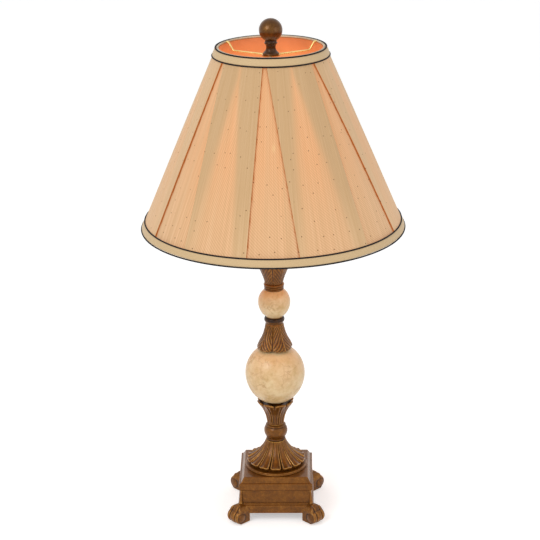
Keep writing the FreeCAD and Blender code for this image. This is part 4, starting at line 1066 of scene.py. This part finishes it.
# -------------------- trim bands and pipings
# A padded band of the same cloth goes round each end of the shade, between two black satin
# pipings.
trim_silk, tree, shader = new_material("tan trim silk")
trim_streak = noise(tree, 0.7, 5.0, 0.7, polar_place(tree, 700.0, 500.0))
# painted glow: the band's faint emission stands in for the bulb's light coming through it
set_shader(tree, shader, {
    "Base Color": ramp(tree, trim_streak, (0.25, (0.48, 0.32, 0.150)), (0.5, (0.57, 0.40, 0.205)),
                       (0.75, (0.66, 0.49, 0.28))),
    "Emission Color": ramp(tree, trim_streak, (0.0, (0.30, 0.20, 0.105)), (1.0, (0.36, 0.25, 0.14))),
    "Emission Strength": 0.22, "Roughness": 0.6, "Sheen Weight": 0.25})
bump(tree, shader, trim_streak, 0.4, 0.0003)
piping_finish = plain_finish("black satin piping", (0.004, 0.003, 0.004), (0.018, 0.013, 0.016), 0.6, 0.0, 1400.0,
                             0.0002, [("Specular IOR Level", 0.15)])
band_height = 9.6 * mm
band_thickness = 2.4 * mm
piping_radius = 1.1 * mm
piping_cuts = 240
trim_height = band_height + 4 * piping_radius + 0.2 * mm
for end, low in (("top", shade_top - trim_height), ("bottom", shade_bottom)):
    band_low = low + 2 * piping_radius + 0.1 * mm
    band_high = band_low + band_height
    band_outline = []
    for share in np.linspace(0, 1, 15):
        z = band_low + (band_high - band_low) * share
        band_outline.append((cone_radius(z, 0.5 * mm * (2 * share - 1) ** 4), z))
    band_outline += [(cone_radius(z, band_thickness), z) for z in (band_high, band_low)]
    place_piece(turned_piece(end + "_trim", band_outline, 224), trim_silk, "trim_fabric", "shade", end + "_band")
    turn = np.linspace(0, 2 * math.pi, piping_cuts, endpoint=False)
    rings = []
    for z in (low + piping_radius, band_high + 0.1 * mm + piping_radius):
        ring_radius = cone_radius(z, piping_radius - 0.5 * mm)
        path = np.stack([ring_radius * np.cos(turn), ring_radius * np.sin(turn),
                         np.full(piping_cuts, z)], axis=-1)
        rings.append(round_wire("piping", path, piping_radius, 10, closed=True))
    place_piece(clean(join(*rings)), piping_finish, "piping", "shade", end + "_pipings")


# -------------------- finial
# A cast ball on a waisted neck with a flared base screws onto the harp's stud and holds the
# shade down.
finial_floor, finial_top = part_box("finial")[0][2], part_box("finial")[1][2]
ball_radius = 17.5 * mm
ball_z = finial_top - ball_radius
underside = math.asin(math.sqrt(1 - (8.6 / 17.5) ** 2))
insert_hole = 5.2 * mm
turn = np.linspace(-underside, math.pi / 2, 44)
head = np.stack([ball_radius * np.cos(turn), ball_z + ball_radius * np.sin(turn)], axis=-1)
head[-1, 0] = 0.0
neck = curve_through(steps_from(0, finial_floor, (11.9, 0), (12.2, 1.4), (11.4, 2.9), (9.2, 5.0), (7.7, 7.6),
                                (7.1, 10.4), (7.4, 13.2), (8.6, 15.6), (9.7, 16.9), (9.8, 17.8), (9.0, 18.5))
                     + [tuple(head[0])], 6)
insert_top = finial_floor + 14.2 * mm
finial_outline = np.concatenate([[(insert_hole, finial_floor)], neck, head[1:],
                                 [(0.0, insert_top), (insert_hole, insert_top)]])
aged_bronze = bronze_finish("aged bronzed resin", 0.50, 0.38)
place_piece(turned_piece("finial_cast", finial_outline, 112), aged_bronze, "bronze_resin", "finial", "finial")


# -------------------- camera, floor and light
# The camera stands in front, above the lamp, and looks down at it. The floor is a white sweep,
# and the light is that of a soft studio.
camera_distance = 2.4345
camera_height = 1.2707
camera_side = math.radians(1.247)
camera_yaw = math.radians(0.136)
camera_pitch = math.radians(19.581)
camera_roll = math.radians(-0.784)
image_width = 540.0
focal_length_pixels = 1670.0
lens = bpy.data.cameras.new("camera")
lens.sensor_width = 36.0
lens.lens = lens.sensor_width * focal_length_pixels / image_width
lens.clip_end = 50.0
camera = bpy.data.objects.new("camera", lens)
bpy.context.scene.collection.objects.link(camera)
camera.location = (camera_distance * math.sin(camera_side), -camera_distance * math.cos(camera_side),
                   camera_height)
camera.rotation_mode = "XYZ"
look = Euler((math.pi / 2 - camera_pitch, 0.0, camera_side + camera_yaw), "XYZ").to_matrix()
camera.rotation_euler = (look @ Matrix.Rotation(camera_roll, 3, "Z")).to_euler("XYZ")
bpy.context.scene.camera = camera


def background_rays(tree):
    """1 where the background is looked at, straight or in a mirror or through glass."""
    path = tree.nodes.new("ShaderNodeLightPath").outputs
    return math_node(tree, "MAXIMUM", path["Is Camera Ray"],
                     math_node(tree, "MAXIMUM", path["Is Glossy Ray"], path["Is Transmission Ray"]))


floor_half = 6.0
floor = bpy.data.objects.new("floor", bpy.data.meshes.new("floor"))
floor_corners = [(x * floor_half, y * floor_half, 0) for x, y in ((-1, -1), (1, -1), (1, 1), (-1, 1))]
floor.data.from_pydata(floor_corners, [], [(0, 1, 2, 3)])
bpy.context.scene.collection.objects.link(floor)
paper, tree, shader = new_material("white sweep")
set_shader(tree, shader, {
    "Base Color": ramp(tree, noise(tree, 30.0, 3.0, 0.5), (0.3, 0.92), (0.7, 0.94)),
    "Roughness": 0.9, "Emission Color": (1.0, 1.0, 1.0, 1.0),
    "Emission Strength": times(tree, background_rays(tree), 0.43)})
floor.data.materials.append(paper)

world = bpy.data.worlds.new("studio")
bpy.context.scene.world = world
world.use_nodes = True
tree = world.node_tree
light_on_lamp = 0.58
set_shader(tree, tree.nodes["Background"], {
    "Strength": math_node(tree, "ADD", times(tree, background_rays(tree), 1.0 - light_on_lamp), light_on_lamp),
    "Color": (1.0, 1.0, 1.0, 1.0)})


def soft_box(name, place, size, power):
    """A square area light that faces the lamp's middle."""
    data = bpy.data.lights.new(name, "AREA")
    data.shape = "SQUARE"
    data.size = size
    data.energy = power
    light = bpy.data.objects.new(name, data)
    bpy.context.scene.collection.objects.link(light)
    light.location = place
    light.rotation_euler = (Vector((0, 0, 0.4)) - Vector(place)).to_track_quat("-Z", "Y").to_euler()


soft_box("key light", (-1.3, -1.6, 2.0), 1.2, 22.0)
soft_box("fill light", (1.7, -1.2, 1.1), 1.4, 8.0)

bpy.context.scene.view_settings.view_transform = "Standard"
